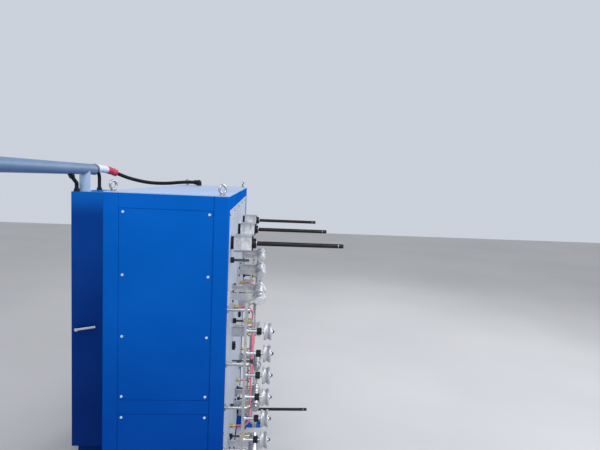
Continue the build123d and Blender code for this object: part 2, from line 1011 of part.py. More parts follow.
# Routes of the three cables, from the arm to where each one ends
arm_back_face = arm_back + arm_cap_length
link_cable_route = [
    (link_cable_x, arm_back_face, arm_height + link_cable_rise),
    (link_cable_x, arm_back_face + link_cable_straight, arm_height + link_cable_rise),
    (-413, 1344, 1609),
    (-370, 1398, 1587),
    (-314, 1430, 1562),
    (-208, 1472, 1538),
    (-96, 1502, 1537),
    (20, elbow_y, elbow_height),
    (elbow_x - elbow_mouth_length, elbow_y, elbow_height),
]
rear_drop_route = [
    (rear_drop_x, arm_back_face, arm_height + rear_drop_rise),
    (rear_drop_x, rear_drop_gland_y, arm_height + rear_drop_rise),
    (rear_drop_x, rear_drop_gland_y, control_height + gland_height),
]
front_drop_route = [
    tuple(front_drop_start()[0]),
    front_drop_middle,
    (front_drop_gland[0], front_drop_gland[1], control_height + gland_height + front_drop_hump),
    (front_drop_gland[0], front_drop_gland[1], control_height + gland_height),
]


def cable(name, route, diameter):
    """A cable along its route, with each bend as wide as its two runs allow."""
    points = [Vector(*point) for point in route]
    radii = []
    for before, here, after in zip(points, points[1:], points[2:]):
        turn = (here - before).get_angle(after - here)
        shorter = min((here - before).length, (after - here).length)
        radii.append(0.45 * shorter / math.tan(math.radians(turn / 2)))
    path = FilletPolyline(*points, radius=radii)
    start = Plane(origin=path @ 0, z_dir=path % 0)
    tube = sweep(start * Circle(diameter / 2), path=path)
    share = tube.volume / (math.pi * diameter**2 / 4 * path.length)
    print(name, "length", round(path.length), "radii", [round(r) for r in radii], "share", round(share, 4))
    return tube


front_panels, front_lips = end_openings(0, 1)
rear_panels, rear_lips = end_openings(body_length, -1)
left_panels, left_lips = side_openings()

nodes = {
    "frame_posts": frame_posts(),
    "long_rails": long_rails(),
    "cross_rails": cross_rails(),
    "panel_lips": group(front_lips + rear_lips + left_lips),
    "front_panels": group(front_panels),
    "rear_panels": group(rear_panels),
    "left_panels": group(left_panels),
    "working_plate": working_plate(),
    "top_plate": top_plate(),
    "base_plate": base_plate(),
    "eye_bolts": eye_bolts(),
    "levelling_feet": levelling_feet(),
    "stabilizer_feet": stabilizer_feet(),
    "bearing_blocks": bearing_blocks(),
    "black_collars": black_collars(),
    "steel_shafts": steel_shafts(),
    "brass_fittings": brass_fittings(),
    "air_hoses": air_hoses(),
    "tension_brakes": tension_brakes(),
    "brake_brackets": brake_brackets(),
    "link_plates": link_plates(),
    "valve_blocks": valve_blocks(),
    "control_plinth": control_plinth(),
    "control_sides": control_sides(),
    "control_ends": control_ends(),
    "control_back_wall": control_back_wall(),
    "mounting_plate": mounting_plate(),
    "control_door": control_door(),
    "door_handle": door_handle(),
    "arm_post": arm_post(),
    "arm_tube": arm_tube(),
    "panel_hanger": panel_hanger(),
    "operator_panel": operator_panel(),
    "cable_glands": cable_glands(),
}
for number, (u, z) in enumerate(spindle_places, 1):
    nodes[f"spindle_{number}"] = spindle(u, z)
for number, (u, pivot, screw) in enumerate(stations, 1):
    nodes[f"dancer_arm_{number}"] = dancer_arm(u, pivot)
    nodes[f"dancer_wheel_{number}"] = grooved_wheel(
        dancer_wheel_start, dancer_wheel_width, dancer_axle_diameter + running_gap, *dancer_end(u, pivot)
    )
for number, z in enumerate(guide_heights, 1):
    nodes[f"guide_wheel_{number}"] = grooved_wheel(
        guide_wheel_start, guide_wheel_width, guide_post_diameter + running_gap, guide_place, z
    )

# The origin is under the middle of everything but the cables
boxes = [shape.bounding_box() for shape in nodes.values()]
origin = Vector(
    (min(box.min.X for box in boxes) + max(box.max.X for box in boxes)) / 2,
    (min(box.min.Y for box in boxes) + max(box.max.Y for box in boxes)) / 2,
    0,
)

nodes["link_cable"] = cable("link_cable", link_cable_route, link_cable_diameter)
nodes["drop_cables"] = group(
    [
        cable("rear drop", rear_drop_route, drop_cable_diameter),
        cable("front drop", front_drop_route, drop_cable_diameter),
    ]
)

os.makedirs("parts", exist_ok=True)
for name, shape in nodes.items():
    export_step(Pos(-origin.X, -origin.Y, 0) * shape, f"parts/{name}.step")
print("nodes", len(nodes), "origin", origin)
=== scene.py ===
# %% [markdown]
# A wire pay-off cabinet feeds wire to a cable line. It is a tall sheet-metal cabinet with bare reel
# spindles, tension arms and grooved wheels on one side, and a control cabinet with an operator's
# arm on the other.
# Its solids come from a CAD model. This lesson dresses them: it gives every surface a finish,
# and adds the screws, bearings, glands and sleeves that are too fine for the solids.
# The first cell loads the solids as a fixed frame and keeps their box, to print beside the dressed
# box at the end.

# %% Load the frame
import math

import bmesh
import bpy
from mathutils import Matrix, Vector


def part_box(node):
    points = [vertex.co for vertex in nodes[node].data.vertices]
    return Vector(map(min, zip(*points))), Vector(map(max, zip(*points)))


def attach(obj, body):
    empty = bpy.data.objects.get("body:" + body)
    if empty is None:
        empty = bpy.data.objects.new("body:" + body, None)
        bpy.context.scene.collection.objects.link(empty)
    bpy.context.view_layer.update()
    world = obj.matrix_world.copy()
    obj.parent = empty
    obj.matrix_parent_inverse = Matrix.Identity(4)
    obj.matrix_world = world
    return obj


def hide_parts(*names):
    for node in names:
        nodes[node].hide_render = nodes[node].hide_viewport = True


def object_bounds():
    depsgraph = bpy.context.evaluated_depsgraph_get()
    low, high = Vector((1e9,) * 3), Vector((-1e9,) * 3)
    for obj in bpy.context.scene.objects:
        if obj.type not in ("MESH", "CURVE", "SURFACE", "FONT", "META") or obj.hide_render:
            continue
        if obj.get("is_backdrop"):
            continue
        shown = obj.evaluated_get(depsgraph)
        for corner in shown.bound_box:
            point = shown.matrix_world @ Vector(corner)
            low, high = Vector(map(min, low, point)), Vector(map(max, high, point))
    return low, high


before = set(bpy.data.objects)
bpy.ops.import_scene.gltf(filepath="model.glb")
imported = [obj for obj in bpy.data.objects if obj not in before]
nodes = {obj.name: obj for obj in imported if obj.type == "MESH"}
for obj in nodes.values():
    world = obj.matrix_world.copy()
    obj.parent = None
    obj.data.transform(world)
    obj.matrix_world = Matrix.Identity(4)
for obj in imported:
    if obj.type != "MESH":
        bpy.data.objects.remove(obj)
cad_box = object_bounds()
MM = 0.001


def new_object(name, data):
    """An object in the scene that shows some data."""
    made = bpy.data.objects.new(name, data)
    bpy.context.scene.collection.objects.link(made)
    return made


# %% [markdown]
# The photograph was taken at standing height, close to the front end of the cabinet.
# A short lens gives the strong narrowing of the long top. The camera looks a little down,
# a little to the right of the cabinet's length, and leans a little, so the uprights lean too.
# The three turns are applied one after the other, which is easier to read than one set of
# Euler angles.

# %% Camera
PHOTO_WIDTH = 600
FOCAL_PIXELS = 470.2
SENSOR_WIDTH = 36
CAMERA_PLACE = Vector((0.4023, -2.3019, 1.5984))
CAMERA_YAW = math.radians(4.573)
CAMERA_PITCH = math.radians(5.46)
CAMERA_ROLL = math.radians(2.536)

camera_data = bpy.data.cameras.new("camera")
camera_data.sensor_width = SENSOR_WIDTH
camera_data.lens = FOCAL_PIXELS * SENSOR_WIDTH / PHOTO_WIDTH
camera_data.clip_end = 60
camera = new_object("camera", camera_data)
heading = Matrix.Rotation(-CAMERA_YAW, 4, "Z")
tilt = Matrix.Rotation(math.pi / 2 - CAMERA_PITCH, 4, "X")
lean = Matrix.Rotation(CAMERA_ROLL, 4, "Z")
camera.matrix_world = Matrix.Translation(CAMERA_PLACE) @ heading @ tilt @ lean
bpy.context.scene.camera = camera
print("lens", round(camera_data.lens, 2), "mm")

# %% [markdown]
# Soft, wide light from above suits a large machine. Five area lamps and an even sky
# give it, and together they light a surface at about its written colour.
# Where the camera or a reflection sees the sky, it is a plain pale grey with a little blue in it.

# %% Lamps and sky
SKY_STRENGTH = 0.62
SEEN_SKY = (0.6, 0.64, 0.71, 1)
# Name, place in metres, turn in degrees, width in metres and power in watts.
LAMPS = [
    ("key_lamp", (1.6, -3.2, 4.2), (55, 0, 20), 3.0, 105),
    ("side_lamp", (4.0, 0.6, 3.4), (0, 55, 0), 3.0, 84),
    ("fill_lamp", (-3.6, -1.6, 3.2), (0, -52, 0), 3.0, 26),
    ("back_lamp", (1.8, 4.4, 3.2), (-62, 0, -19), 1.6, 40),
    ("low_lamp", (1.3, -5.4, 0.6), (97, 0, 10), 1.4, 22),
]


def area_lamp(name, place, turn, size, power):
    """A square lamp that faces down before it is turned."""
    data = bpy.data.lights.new(name, "AREA")
    data.size = size
    data.energy = power
    lamp = new_object(name, data)
    lamp.location = place
    lamp.rotation_euler = [math.radians(angle) for angle in turn]
    lamp.visible_camera = False


for lamp in LAMPS:
    area_lamp(*lamp)

world = bpy.data.worlds.new("soft_sky")
world.use_nodes = True
bpy.context.scene.world = world
tree = world.node_tree
sky = tree.nodes["Background"]
sky.inputs["Color"].default_value = (1, 1, 1, 1)
sky.inputs["Strength"].default_value = SKY_STRENGTH
seen_sky = tree.nodes.new("ShaderNodeBackground")
seen_sky.inputs["Color"].default_value = SEEN_SKY
seen_sky.inputs["Strength"].default_value = 1
paths = tree.nodes.new("ShaderNodeLightPath")
either = tree.nodes.new("ShaderNodeMath")
either.operation = "MAXIMUM"
tree.links.new(paths.outputs["Is Camera Ray"], either.inputs[0])
tree.links.new(paths.outputs["Is Glossy Ray"], either.inputs[1])
mix = tree.nodes.new("ShaderNodeMixShader")
tree.links.new(either.outputs[0], mix.inputs["Fac"])
tree.links.new(sky.outputs[0], mix.inputs[1])
tree.links.new(seen_sky.outputs[0], mix.inputs[2])
tree.links.new(mix.outputs[0], tree.nodes["World Output"].inputs["Surface"])
bpy.context.scene.view_settings.view_transform = "Standard"
print("lamps", len(LAMPS))

# %% [markdown]
# Every finish here starts from the same shader with three small variations on it: the colour
# drifts a little over the surface, the gloss varies with a fine grain, and the same grain as a bump
# breaks up the reflections. One helper builds that, and each finish gives its own colours, gloss
# and grain. The noise is read in object coordinates, which are the machine's own metres, so a grain
# of 2 mm is 2 mm everywhere.

# %% Finish helper
NOISE_LOW, NOISE_HIGH = 0.3, 0.7
RAMP_START, RAMP_END = 0.35, 0.65
BUMP_STRENGTH = 0.5


def new_material(name):
    """An empty node material, with its shader linked to the output."""
    material = bpy.data.materials.new(name)
    material.use_nodes = True
    nodes_of = material.node_tree.nodes
    nodes_of.clear()
    shader = nodes_of.new("ShaderNodeBsdfPrincipled")
    output = nodes_of.new("ShaderNodeOutputMaterial")
    material.node_tree.links.new(shader.outputs[0], output.inputs["Surface"])
    return material


def shader_of(material):
    """The shader of a finish."""
    return material.node_tree.nodes["Principled BSDF"]


def noise_in_metres(material, size, detail=3, stretch=(1, 1, 1)):
    """Noise whose grains are about one size, in metres."""
    tree = material.node_tree
    place = tree.nodes.new("ShaderNodeTexCoord")
    mapping = tree.nodes.new("ShaderNodeMapping")
    mapping.inputs["Scale"].default_value = stretch
    noise = tree.nodes.new("ShaderNodeTexNoise")
    noise.inputs["Scale"].default_value = 1 / size
    noise.inputs["Detail"].default_value = detail
    tree.links.new(place.outputs["Object"], mapping.inputs["Vector"])
    tree.links.new(mapping.outputs[0], noise.inputs["Vector"])
    return noise.outputs["Fac"]


def ramp(material, factor, low, high):
    """Two colours mixed by a factor."""
    node = material.node_tree.nodes.new("ShaderNodeValToRGB")
    node.color_ramp.elements[0].position = RAMP_START
    node.color_ramp.elements[0].color = (*low, 1)
    node.color_ramp.elements[1].position = RAMP_END
    node.color_ramp.elements[1].color = (*high, 1)
    material.node_tree.links.new(factor, node.inputs["Fac"])
    return node.outputs["Color"]


def level(material, factor, low, high):
    """A factor spread between two numbers."""
    node = material.node_tree.nodes.new("ShaderNodeMapRange")
    node.inputs["From Min"].default_value = NOISE_LOW
    node.inputs["From Max"].default_value = NOISE_HIGH
    node.inputs["To Min"].default_value = low
    node.inputs["To Max"].default_value = high
    material.node_tree.links.new(factor, node.inputs["Value"])
    return node.outputs["Result"]


def bump(material, height, strength, distance):
    """A bump that is so many metres high."""
    node = material.node_tree.nodes.new("ShaderNodeBump")
    node.inputs["Strength"].default_value = strength
    node.inputs["Distance"].default_value = distance
    material.node_tree.links.new(height, node.inputs["Height"])
    return node.outputs["Normal"]


def tinted_along(material, axis, start, end, start_tint, end_tint):
    """Multiplies the colour by a tint that changes between two places on an axis, in metres."""
    tree = material.node_tree
    colour = shader_of(material).inputs["Base Color"]
    place = tree.nodes.new("ShaderNodeTexCoord")
    split = tree.nodes.new("ShaderNodeSeparateXYZ")
    share = tree.nodes.new("ShaderNodeMapRange")
    share.interpolation_type = "SMOOTHSTEP"
    share.inputs["From Min"].default_value = start
    share.inputs["From Max"].default_value = end
    tint = tree.nodes.new("ShaderNodeMix")
    tint.data_type = "RGBA"
    factor, before, after = tint.inputs[0], tint.inputs[6], tint.inputs[7]
    before.default_value = (*start_tint, 1)
    after.default_value = (*end_tint, 1)
    product = tree.nodes.new("ShaderNodeVectorMath")
    product.operation = "MULTIPLY"
    tree.links.new(place.outputs["Object"], split.inputs[0])
    tree.links.new(split.outputs[axis], share.inputs["Value"])
    tree.links.new(share.outputs["Result"], factor)
    tree.links.new(colour.links[0].from_socket, product.inputs[0])
    tree.links.new(tint.outputs[2], product.inputs[1])
    tree.links.new(product.outputs[0], colour)


def finish(
    name,
    low,
    high,
    rough,
    metal=0.0,
    drift=0.35,
    grain=0.002,
    relief=0.00003,
    stretch=(1, 1, 1),
    specular=0.5,
):
    """A finish: two near colours, a range of roughness, and the grain's size and relief."""
    material = new_material(name)
    shader = shader_of(material)
    links = material.node_tree.links
    wide = noise_in_metres(material, drift)
    fine = noise_in_metres(material, grain, detail=2, stretch=stretch)
    links.new(ramp(material, wide, low, high), shader.inputs["Base Color"])
    links.new(level(material, fine, *rough), shader.inputs["Roughness"])
    links.new(bump(material, fine, BUMP_STRENGTH, relief), shader.inputs["Normal"])
    shader.inputs["Metallic"].default_value = metal
    shader.inputs["Specular IOR Level"].default_value = specular
    return material


def wavy(material, width, height):
    """Adds slow waves under the grain, so that a flat face mirrors light and dark in patches."""
    waves = bump(material, noise_in_metres(material, width, detail=1), 1, height)
    fine = shader_of(material).inputs["Normal"].links[0].from_node
    material.node_tree.links.new(waves, fine.inputs["Normal"])


# %% [markdown]
# Paint that is sprayed on sheet steel has a skin like orange peel: soft dimples about 3 mm wide.
# The blue is deep and nearly matt. A pale room mirrored in it at a low angle would turn it grey, so
# its specular level is zero, and the wide drift in the base colour keeps the large sheets from
# looking flat. Both blues grow deeper and darker towards the floor, on a gradient of height each:
# this is painted shade, for light that comes from above. The two feet stand out into the light, so
# they have the plain blue. The control cabinet has the same paint, painted a shade darker for the
# shadow that the main cabinet casts on it, and a second gradient of painted light where its top
# catches the light.
# The arm's post is paler than its tube.

# %% Paints
cabinet_blue = finish(
    "cabinet_blue", (0.002, 0.098, 0.46), (0.003, 0.112, 0.51), (0.4, 0.52),
    grain=0.003, relief=0.00005, specular=0,
)
# Painted shade: the blue darkens and deepens towards the floor, where less light reaches.
tinted_along(cabinet_blue, "Z", 0.1, 1.5, (1, 0.28, 0.52), (1, 1, 1))
foot_blue = finish(
    "foot_blue", (0.004, 0.098, 0.42), (0.006, 0.112, 0.47), (0.4, 0.52),
    grain=0.003, relief=0.00005, specular=0.1,
)
# Painted shade: the control cabinet's blue is a shade darker than the main cabinet's, for the
# shadow that the main cabinet casts on it.
control_blue = finish(
    "control_blue", (0.002, 0.022, 0.18), (0.003, 0.028, 0.21), (0.42, 0.55),
    grain=0.003, relief=0.00005, specular=0.04,
)
# Painted light: the blue grows lighter upwards, and a band at the top is lighter still, where light
# falls over the main cabinet.
tinted_along(control_blue, "Z", 0.2, 1.3, (1, 1.15, 1), (1, 2.1, 1.5))
tinted_along(control_blue, "Z", 1.34, 1.49, (1, 1, 1), (1.8, 2.7, 1.9))
cream_paint = finish(
    "cream_paint", (0.36, 0.42, 0.53), (0.42, 0.48, 0.6), (0.36, 0.48),
    grain=0.003, relief=0.00004, specular=0.25,
)
# Painted reflection: the pale top plate's base colour is painted bluer than the cream plate, for
# the bluish sheen that it mirrors at a low angle.
top_paint = finish(
    "top_paint", (0.29, 0.42, 0.7), (0.34, 0.48, 0.76), (0.26, 0.36),
    grain=0.003, relief=0.00004, specular=0.3,
)
arm_paint = finish(
    "arm_paint", (0.12, 0.21, 0.35), (0.15, 0.24, 0.4), (0.36, 0.48),
    grain=0.0025, relief=0.00004, specular=0.25,
)
post_paint = finish(
    "post_paint", (0.36, 0.5, 0.67), (0.42, 0.56, 0.75), (0.36, 0.48),
    grain=0.0025, relief=0.00004, specular=0.25,
)
case_paint = finish(
    "case_paint", (0.24, 0.31, 0.42), (0.28, 0.35, 0.46), (0.42, 0.55),
    grain=0.0018, relief=0.00006, specular=0.3,
)
print("materials so far", len(bpy.data.materials))

# %% [markdown]
# Turned parts carry fine rings from the lathe tool, and ground or drawn parts carry straight
# scratches. Noise that is stretched along one axis gives both: the scratches run along the
# stretched axis. Bright steel, aluminium and brass differ in colour and in how broad their
# highlight is. A milled face is never quite flat, so blocks and plates get slow waves that mirror
# light in patches. Zinc on a screw head is duller than steel and scatters light, so its shader is
# only part metal. The rods of the guide bank are bright, and the shafts of the stations behind it
# are blackened, so their one steel changes its tint at a place between the two.

# %% Metals
bright_steel = finish(
    "bright_steel", (0.36, 0.37, 0.39), (0.5, 0.51, 0.53), (0.16, 0.28),
    metal=1, drift=0.08, grain=0.0012, relief=0.00001, stretch=(0.15, 1, 1),
)
zinc_sheet = finish(
    "zinc_sheet", (0.4, 0.41, 0.42), (0.52, 0.53, 0.54), (0.34, 0.5),
    metal=1, drift=0.03, grain=0.004, relief=0.00002,
)
turned_aluminium = finish(
    "turned_aluminium", (0.42, 0.43, 0.45), (0.56, 0.57, 0.59), (0.2, 0.32),
    metal=1, drift=0.06, grain=0.0008, relief=0.00001, stretch=(1, 0.2, 1),
)
milled_aluminium = finish(
    "milled_aluminium", (0.48, 0.49, 0.51), (0.62, 0.63, 0.65), (0.22, 0.34),
    metal=1, drift=0.06, grain=0.0009, relief=0.00001, stretch=(0.3, 1, 1),
)
wavy(milled_aluminium, 0.03, 0.0012)
brushed_aluminium = finish(
    "brushed_aluminium", (0.4, 0.41, 0.43), (0.52, 0.53, 0.55), (0.24, 0.36),
    metal=1, drift=0.05, grain=0.0009, relief=0.00001, stretch=(1, 1, 0.1),
)
wavy(brushed_aluminium, 0.03, 0.0006)
chrome = finish(
    "chrome", (0.6, 0.61, 0.63), (0.72, 0.73, 0.75), (0.06, 0.12),
    metal=1, drift=0.1, grain=0.004, relief=0.000005,
)
brass = finish(
    "brass", (0.52, 0.41, 0.12), (0.64, 0.52, 0.19), (0.22, 0.36),
    metal=1, drift=0.05, grain=0.001, relief=0.00001, stretch=(0.2, 1, 1),
)
shaft_steel = finish(
    "shaft_steel", (0.4, 0.41, 0.43), (0.55, 0.56, 0.58), (0.16, 0.28),
    metal=1, drift=0.08, grain=0.0012, relief=0.00001, stretch=(0.15, 1, 1),
)
tinted_along(shaft_steel, "Y", -0.549, -0.547, (1, 1, 1), (0.2, 0.2, 0.21))
black_steel = finish(
    "black_steel", (0.006, 0.006, 0.008), (0.012, 0.012, 0.015), (0.26, 0.4),
    metal=0.6, drift=0.06, grain=0.001, relief=0.00001, stretch=(0.2, 1, 1),
)
screw_zinc = finish(
    "screw_zinc", (0.66, 0.76, 0.86), (0.76, 0.86, 0.94), (0.3, 0.42),
    metal=0.3, drift=0.02, grain=0.001, relief=0.00001,
)
print("materials so far", len(bpy.data.materials))

# %% [markdown]
# Moulded plastics and rubber aren't metallic, and their relief is softer. The air hose is a clear
# pink polyurethane: light enters it, so the shader gets some subsurface scattering.
# The grooved wheels are satin anodised aluminium. The oxide scatters light, so they are part metal.

# %% Plastics, rubber and anodised wheels
black_plastic = finish(
    "black_plastic", (0.006, 0.006, 0.008), (0.012, 0.012, 0.015), (0.42, 0.58),
    drift=0.05, grain=0.0012, relief=0.00004, specular=0.2,
)
cable_rubber = finish(
    "cable_rubber", (0.006, 0.007, 0.009), (0.011, 0.012, 0.016), (0.5, 0.66),
    drift=0.05, grain=0.0015, relief=0.00004, specular=0.2,
)
wheel_finish = finish(
    "wheel_finish", (0.44, 0.45, 0.48), (0.54, 0.55, 0.58), (0.36, 0.48),
    metal=0.6, drift=0.03, grain=0.0008, relief=0.00001, stretch=(1, 0.3, 1),
)
hose_plastic = finish(
    "hose_plastic", (0.68, 0.17, 0.24), (0.78, 0.25, 0.32), (0.2, 0.3),
    drift=0.05, grain=0.003, relief=0.00001,
)
shader_of(hose_plastic).inputs["Subsurface Weight"].default_value = 0.3
shader_of(hose_plastic).inputs["Subsurface Radius"].default_value = (0.01, 0.004, 0.004)
print("materials so far", len(bpy.data.materials))

# %% [markdown]
# Each solid is one kind of part in one finish, so a table of names is all it takes.
# Numbered parts share the entry of their family.

# %% Give the solids their finishes
FINISHES = [
    (cabinet_blue, "frame_posts long_rails cross_rails panel_lips"),
    (cabinet_blue, "front_panels rear_panels left_panels"),
    (foot_blue, "stabilizer_feet"),
    (control_blue, "control_plinth control_sides control_ends control_back_wall control_door"),
    (cream_paint, "working_plate"),
    (top_paint, "top_plate"),
    (arm_paint, "arm_tube panel_hanger"),
    (post_paint, "arm_post"),
    (case_paint, "operator_panel"),
    (bright_steel, "eye_bolts levelling_feet"),
    (zinc_sheet, "base_plate mounting_plate"),
    (turned_aluminium, "tension_brakes dancer_arm"),
    (milled_aluminium, "bearing_blocks brake_brackets"),
    (brushed_aluminium, "link_plates valve_blocks"),
    (chrome, "door_handle"),
    (brass, "brass_fittings"),
    (shaft_steel, "steel_shafts"),
    (black_steel, "spindle"),
    (black_plastic, "black_collars cable_glands"),
    (cable_rubber, "link_cable drop_cables"),
    (wheel_finish, "dancer_wheel guide_wheel"),
    (hose_plastic, "air_hoses"),
]


def family(name):
    """A node's name without its number."""
    stem, _, number = name.rpartition("_")
    return stem if number.isdigit() else name


finish_of = {part: material for material, parts in FINISHES for part in parts.split()}
for name, node in nodes.items():
    node.data.materials.clear()
    node.data.materials.append(finish_of[family(name)])
print("finished solids", len(nodes))

# %% [markdown]
# The fittings below stand where the drawing puts them. The drawing counts millimetres from the
# cabinet's front left corner, and the scene counts metres from the middle of the whole machine.
# One helper turns a place of the drawing into a place in the scene, and reads the corner from the
# solids. A second helper hands a finished mesh to the body that it moves with.

# %% Places and pieces
LEFT, RIGHT = (-1, 0, 0), (1, 0, 0)
FRONT, BACK = (0, -1, 0), (0, 1, 0)
UP = (0, 0, 1)
top_low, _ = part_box("top_plate")
CORNER = Vector((top_low[0], top_low[1], 0))
CABINET_WIDTH = 420
CABINET_LENGTH = 1620
PLATE_FACE = 417


def place(x, y, z):
    """A place of the drawing, in the scene's metres."""
    return CORNER + Vector((x, y, z)) * MM


def add_piece(name, mesh, material, body):
    """An object at the origin that shows one mesh and rides on one body."""
    mesh.materials.clear()
    mesh.materials.append(material)
    for face in mesh.polygons:
        face.material_index = 0
    piece = new_object(name, mesh)
    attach(piece, body)
    return piece


print("corner", tuple(round(v, 4) for v in CORNER))

# %% [markdown]
# Small screws hold every panel, clamp and bearing block. They repeat by the hundred, so Geometry
# Nodes make them: one head is built in the tree, stood on every point of a spot mesh, and turned
# outwards. A pan head is a short cone with a cross cut into it. A socket head is nearly a cylinder,
# with a hexagon cut into it. Both cuts are Booleans on the single head, before it is repeated,
# which keeps them quick.

# %% Screw trees
HEAD_SIDES = 20
PAN_TAPER = 0.72
SOCKET_TAPER = 0.96


def tree_input(tree, name, kind, value=None):
    """A named input of a tree."""
    socket = tree.interface.new_socket(name, in_out="INPUT", socket_type=kind)
    if value is not None:
        socket.default_value = value


def calculated(tree, operation, first, second):
    """A sum on a socket and a second value, which is a socket or a number."""
    node = tree.nodes.new("ShaderNodeMath")
    node.operation = operation
    tree.links.new(first, node.inputs[0])
    if isinstance(second, (int, float)):
        node.inputs[1].default_value = second
    else:
        tree.links.new(second, node.inputs[1])
    return node.outputs[0]


def box_of(tree, sizes):
    """A box whose three sizes come from sockets."""
    size = tree.nodes.new("ShaderNodeCombineXYZ")
    for axis, socket in enumerate(sizes):
        tree.links.new(socket, size.inputs[axis])
    box = tree.nodes.new("GeometryNodeMeshCube")
    tree.links.new(size.outputs[0], box.inputs["Size"])
    return box.outputs["Mesh"]


def cross_cut(tree, given):
    """Two thin bars, crossed, whose middle is at the top of the head."""
    length = calculated(tree, "MULTIPLY", given["Head Diameter"], 0.5)
    width, height = given["Recess Width"], given["Head Height"]
    return [box_of(tree, (length, width, height)), box_of(tree, (width, length, height))]


def hexagon_cut(tree, given):
    """A hexagonal plug whose middle is at the top of the head."""
    plug = tree.nodes.new("GeometryNodeMeshCylinder")
    plug.inputs["Vertices"].default_value = 6
    radius = calculated(tree, "MULTIPLY", given["Recess Width"], 0.5)
    tree.links.new(radius, plug.inputs["Radius"])
    tree.links.new(given["Head Height"], plug.inputs["Depth"])
    return [plug.outputs["Mesh"]]


def end_tree(tree, instances, given):
    """Makes instances real, gives them their finish and hands them to the output."""
    real = tree.nodes.new("GeometryNodeRealizeInstances")
    tree.links.new(instances, real.inputs[0])
    paint = tree.nodes.new("GeometryNodeSetMaterial")
    tree.links.new(real.outputs[0], paint.inputs["Geometry"])
    tree.links.new(given["Finish"], paint.inputs["Material"])
    tree.links.new(paint.outputs[0], tree.nodes.new("NodeGroupOutput").inputs[0])


def screw_tree(name, taper, cut):
    """A tree that stands one screw head on every spot."""
    tree = bpy.data.node_groups.new(name, "GeometryNodeTree")
    tree_input(tree, "Spots", "NodeSocketGeometry")
    tree_input(tree, "Head Diameter", "NodeSocketFloat", 0.008)
    tree_input(tree, "Head Height", "NodeSocketFloat", 0.0025)
    tree_input(tree, "Recess Width", "NodeSocketFloat", 0.0012)
    tree_input(tree, "Finish", "NodeSocketMaterial")
    tree.interface.new_socket("Screws", in_out="OUTPUT", socket_type="NodeSocketGeometry")
    given = tree.nodes.new("NodeGroupInput").outputs

    head = tree.nodes.new("GeometryNodeMeshCone")
    head.inputs["Vertices"].default_value = HEAD_SIDES
    for end, share in (("Radius Top", 0.5 * taper), ("Radius Bottom", 0.5)):
        radius = calculated(tree, "MULTIPLY", given["Head Diameter"], share)
        tree.links.new(radius, head.inputs[end])
    tree.links.new(given["Head Height"], head.inputs["Depth"])

    rise = tree.nodes.new("ShaderNodeCombineXYZ")
    tree.links.new(given["Head Height"], rise.inputs["Z"])
    carve = tree.nodes.new("GeometryNodeMeshBoolean")
    carve.operation = "DIFFERENCE"
    tree.links.new(head.outputs["Mesh"], carve.inputs["Mesh 1"])
    for tool in cut(tree, given):
        lift = tree.nodes.new("GeometryNodeTransform")
        tree.links.new(tool, lift.inputs["Geometry"])
        tree.links.new(rise.outputs[0], lift.inputs["Translation"])
        tree.links.new(lift.outputs[0], carve.inputs["Mesh 2"])

    facing = tree.nodes.new("GeometryNodeInputNamedAttribute")
    facing.data_type = "FLOAT_VECTOR"
    facing.inputs["Name"].default_value = "facing"
    spin = tree.nodes.new("GeometryNodeInputNamedAttribute")
    spin.data_type = "FLOAT"
    spin.inputs["Name"].default_value = "spin"
    outwards = tree.nodes.new("FunctionNodeAlignRotationToVector")
    outwards.axis = "Z"
    tree.links.new(facing.outputs["Attribute"], outwards.inputs["Vector"])
    about = tree.nodes.new("ShaderNodeCombineXYZ")
    tree.links.new(spin.outputs["Attribute"], about.inputs["Z"])
    turn = tree.nodes.new("FunctionNodeEulerToRotation")
    tree.links.new(about.outputs[0], turn.inputs[0])
    both = tree.nodes.new("FunctionNodeRotateRotation")
    both.rotation_space = "LOCAL"
    tree.links.new(outwards.outputs[0], both.inputs["Rotation"])
    tree.links.new(turn.outputs[0], both.inputs["Rotate By"])

    stand = tree.nodes.new("GeometryNodeInstanceOnPoints")
    tree.links.new(given["Spots"], stand.inputs["Points"])
    tree.links.new(carve.outputs["Mesh"], stand.inputs["Instance"])
    tree.links.new(both.outputs[0], stand.inputs["Rotation"])
    end_tree(tree, stand.outputs[0], given)
    return tree


pan_head = screw_tree("pan_head_screws", PAN_TAPER, cross_cut)
socket_head = screw_tree("socket_head_screws", SOCKET_TAPER, hexagon_cut)
print("screw trees", pan_head.name, socket_head.name)

# %% [markdown]
# A spot mesh holds one loose vertex for each screw, with two attributes: the way that the head
# faces, and how far the cross or hexagon is turned, because nobody stops each screw at one angle.
# The turns are worked out from the screw's number and height, so they are uneven but the same on
# every run. Two more helpers give the plain mesh of what a tree makes.

# %% Stand screws on spots
GOLDEN_ANGLE = 2.399
TURN_PER_METRE = 7


def head_sizes(diameter, height, recess):
    """The sizes of a screw head, in metres."""
    return {"Head Diameter": diameter, "Head Height": height, "Recess Width": recess}


PAN = head_sizes(0.0095, 0.0026, 0.0013)
SMALL = head_sizes(0.0055, 0.003, 0.0032)
MEDIUM = head_sizes(0.01, 0.0055, 0.0058)
LARGE = head_sizes(0.016, 0.009, 0.0092)


def plain_mesh(thing):
    """What an object looks like with its modifiers or its curve worked out."""
    seen = thing.evaluated_get(bpy.context.evaluated_depsgraph_get())
    return bpy.data.meshes.new_from_object(seen)


def from_tree(name, tree, values, start):
    """The plain mesh that a tree makes from a starting mesh and its named inputs."""
    maker = new_object(f"{name}_maker", start)
    modifier = maker.modifiers.new(name, "NODES")
    modifier.node_group = tree
    for item in tree.interface.items_tree:
        if item.in_out == "INPUT" and item.name in values:
            modifier[item.identifier] = values[item.name]
    mesh = plain_mesh(maker)
    maker.modifiers.clear()
    bpy.data.objects.remove(maker)
    return mesh


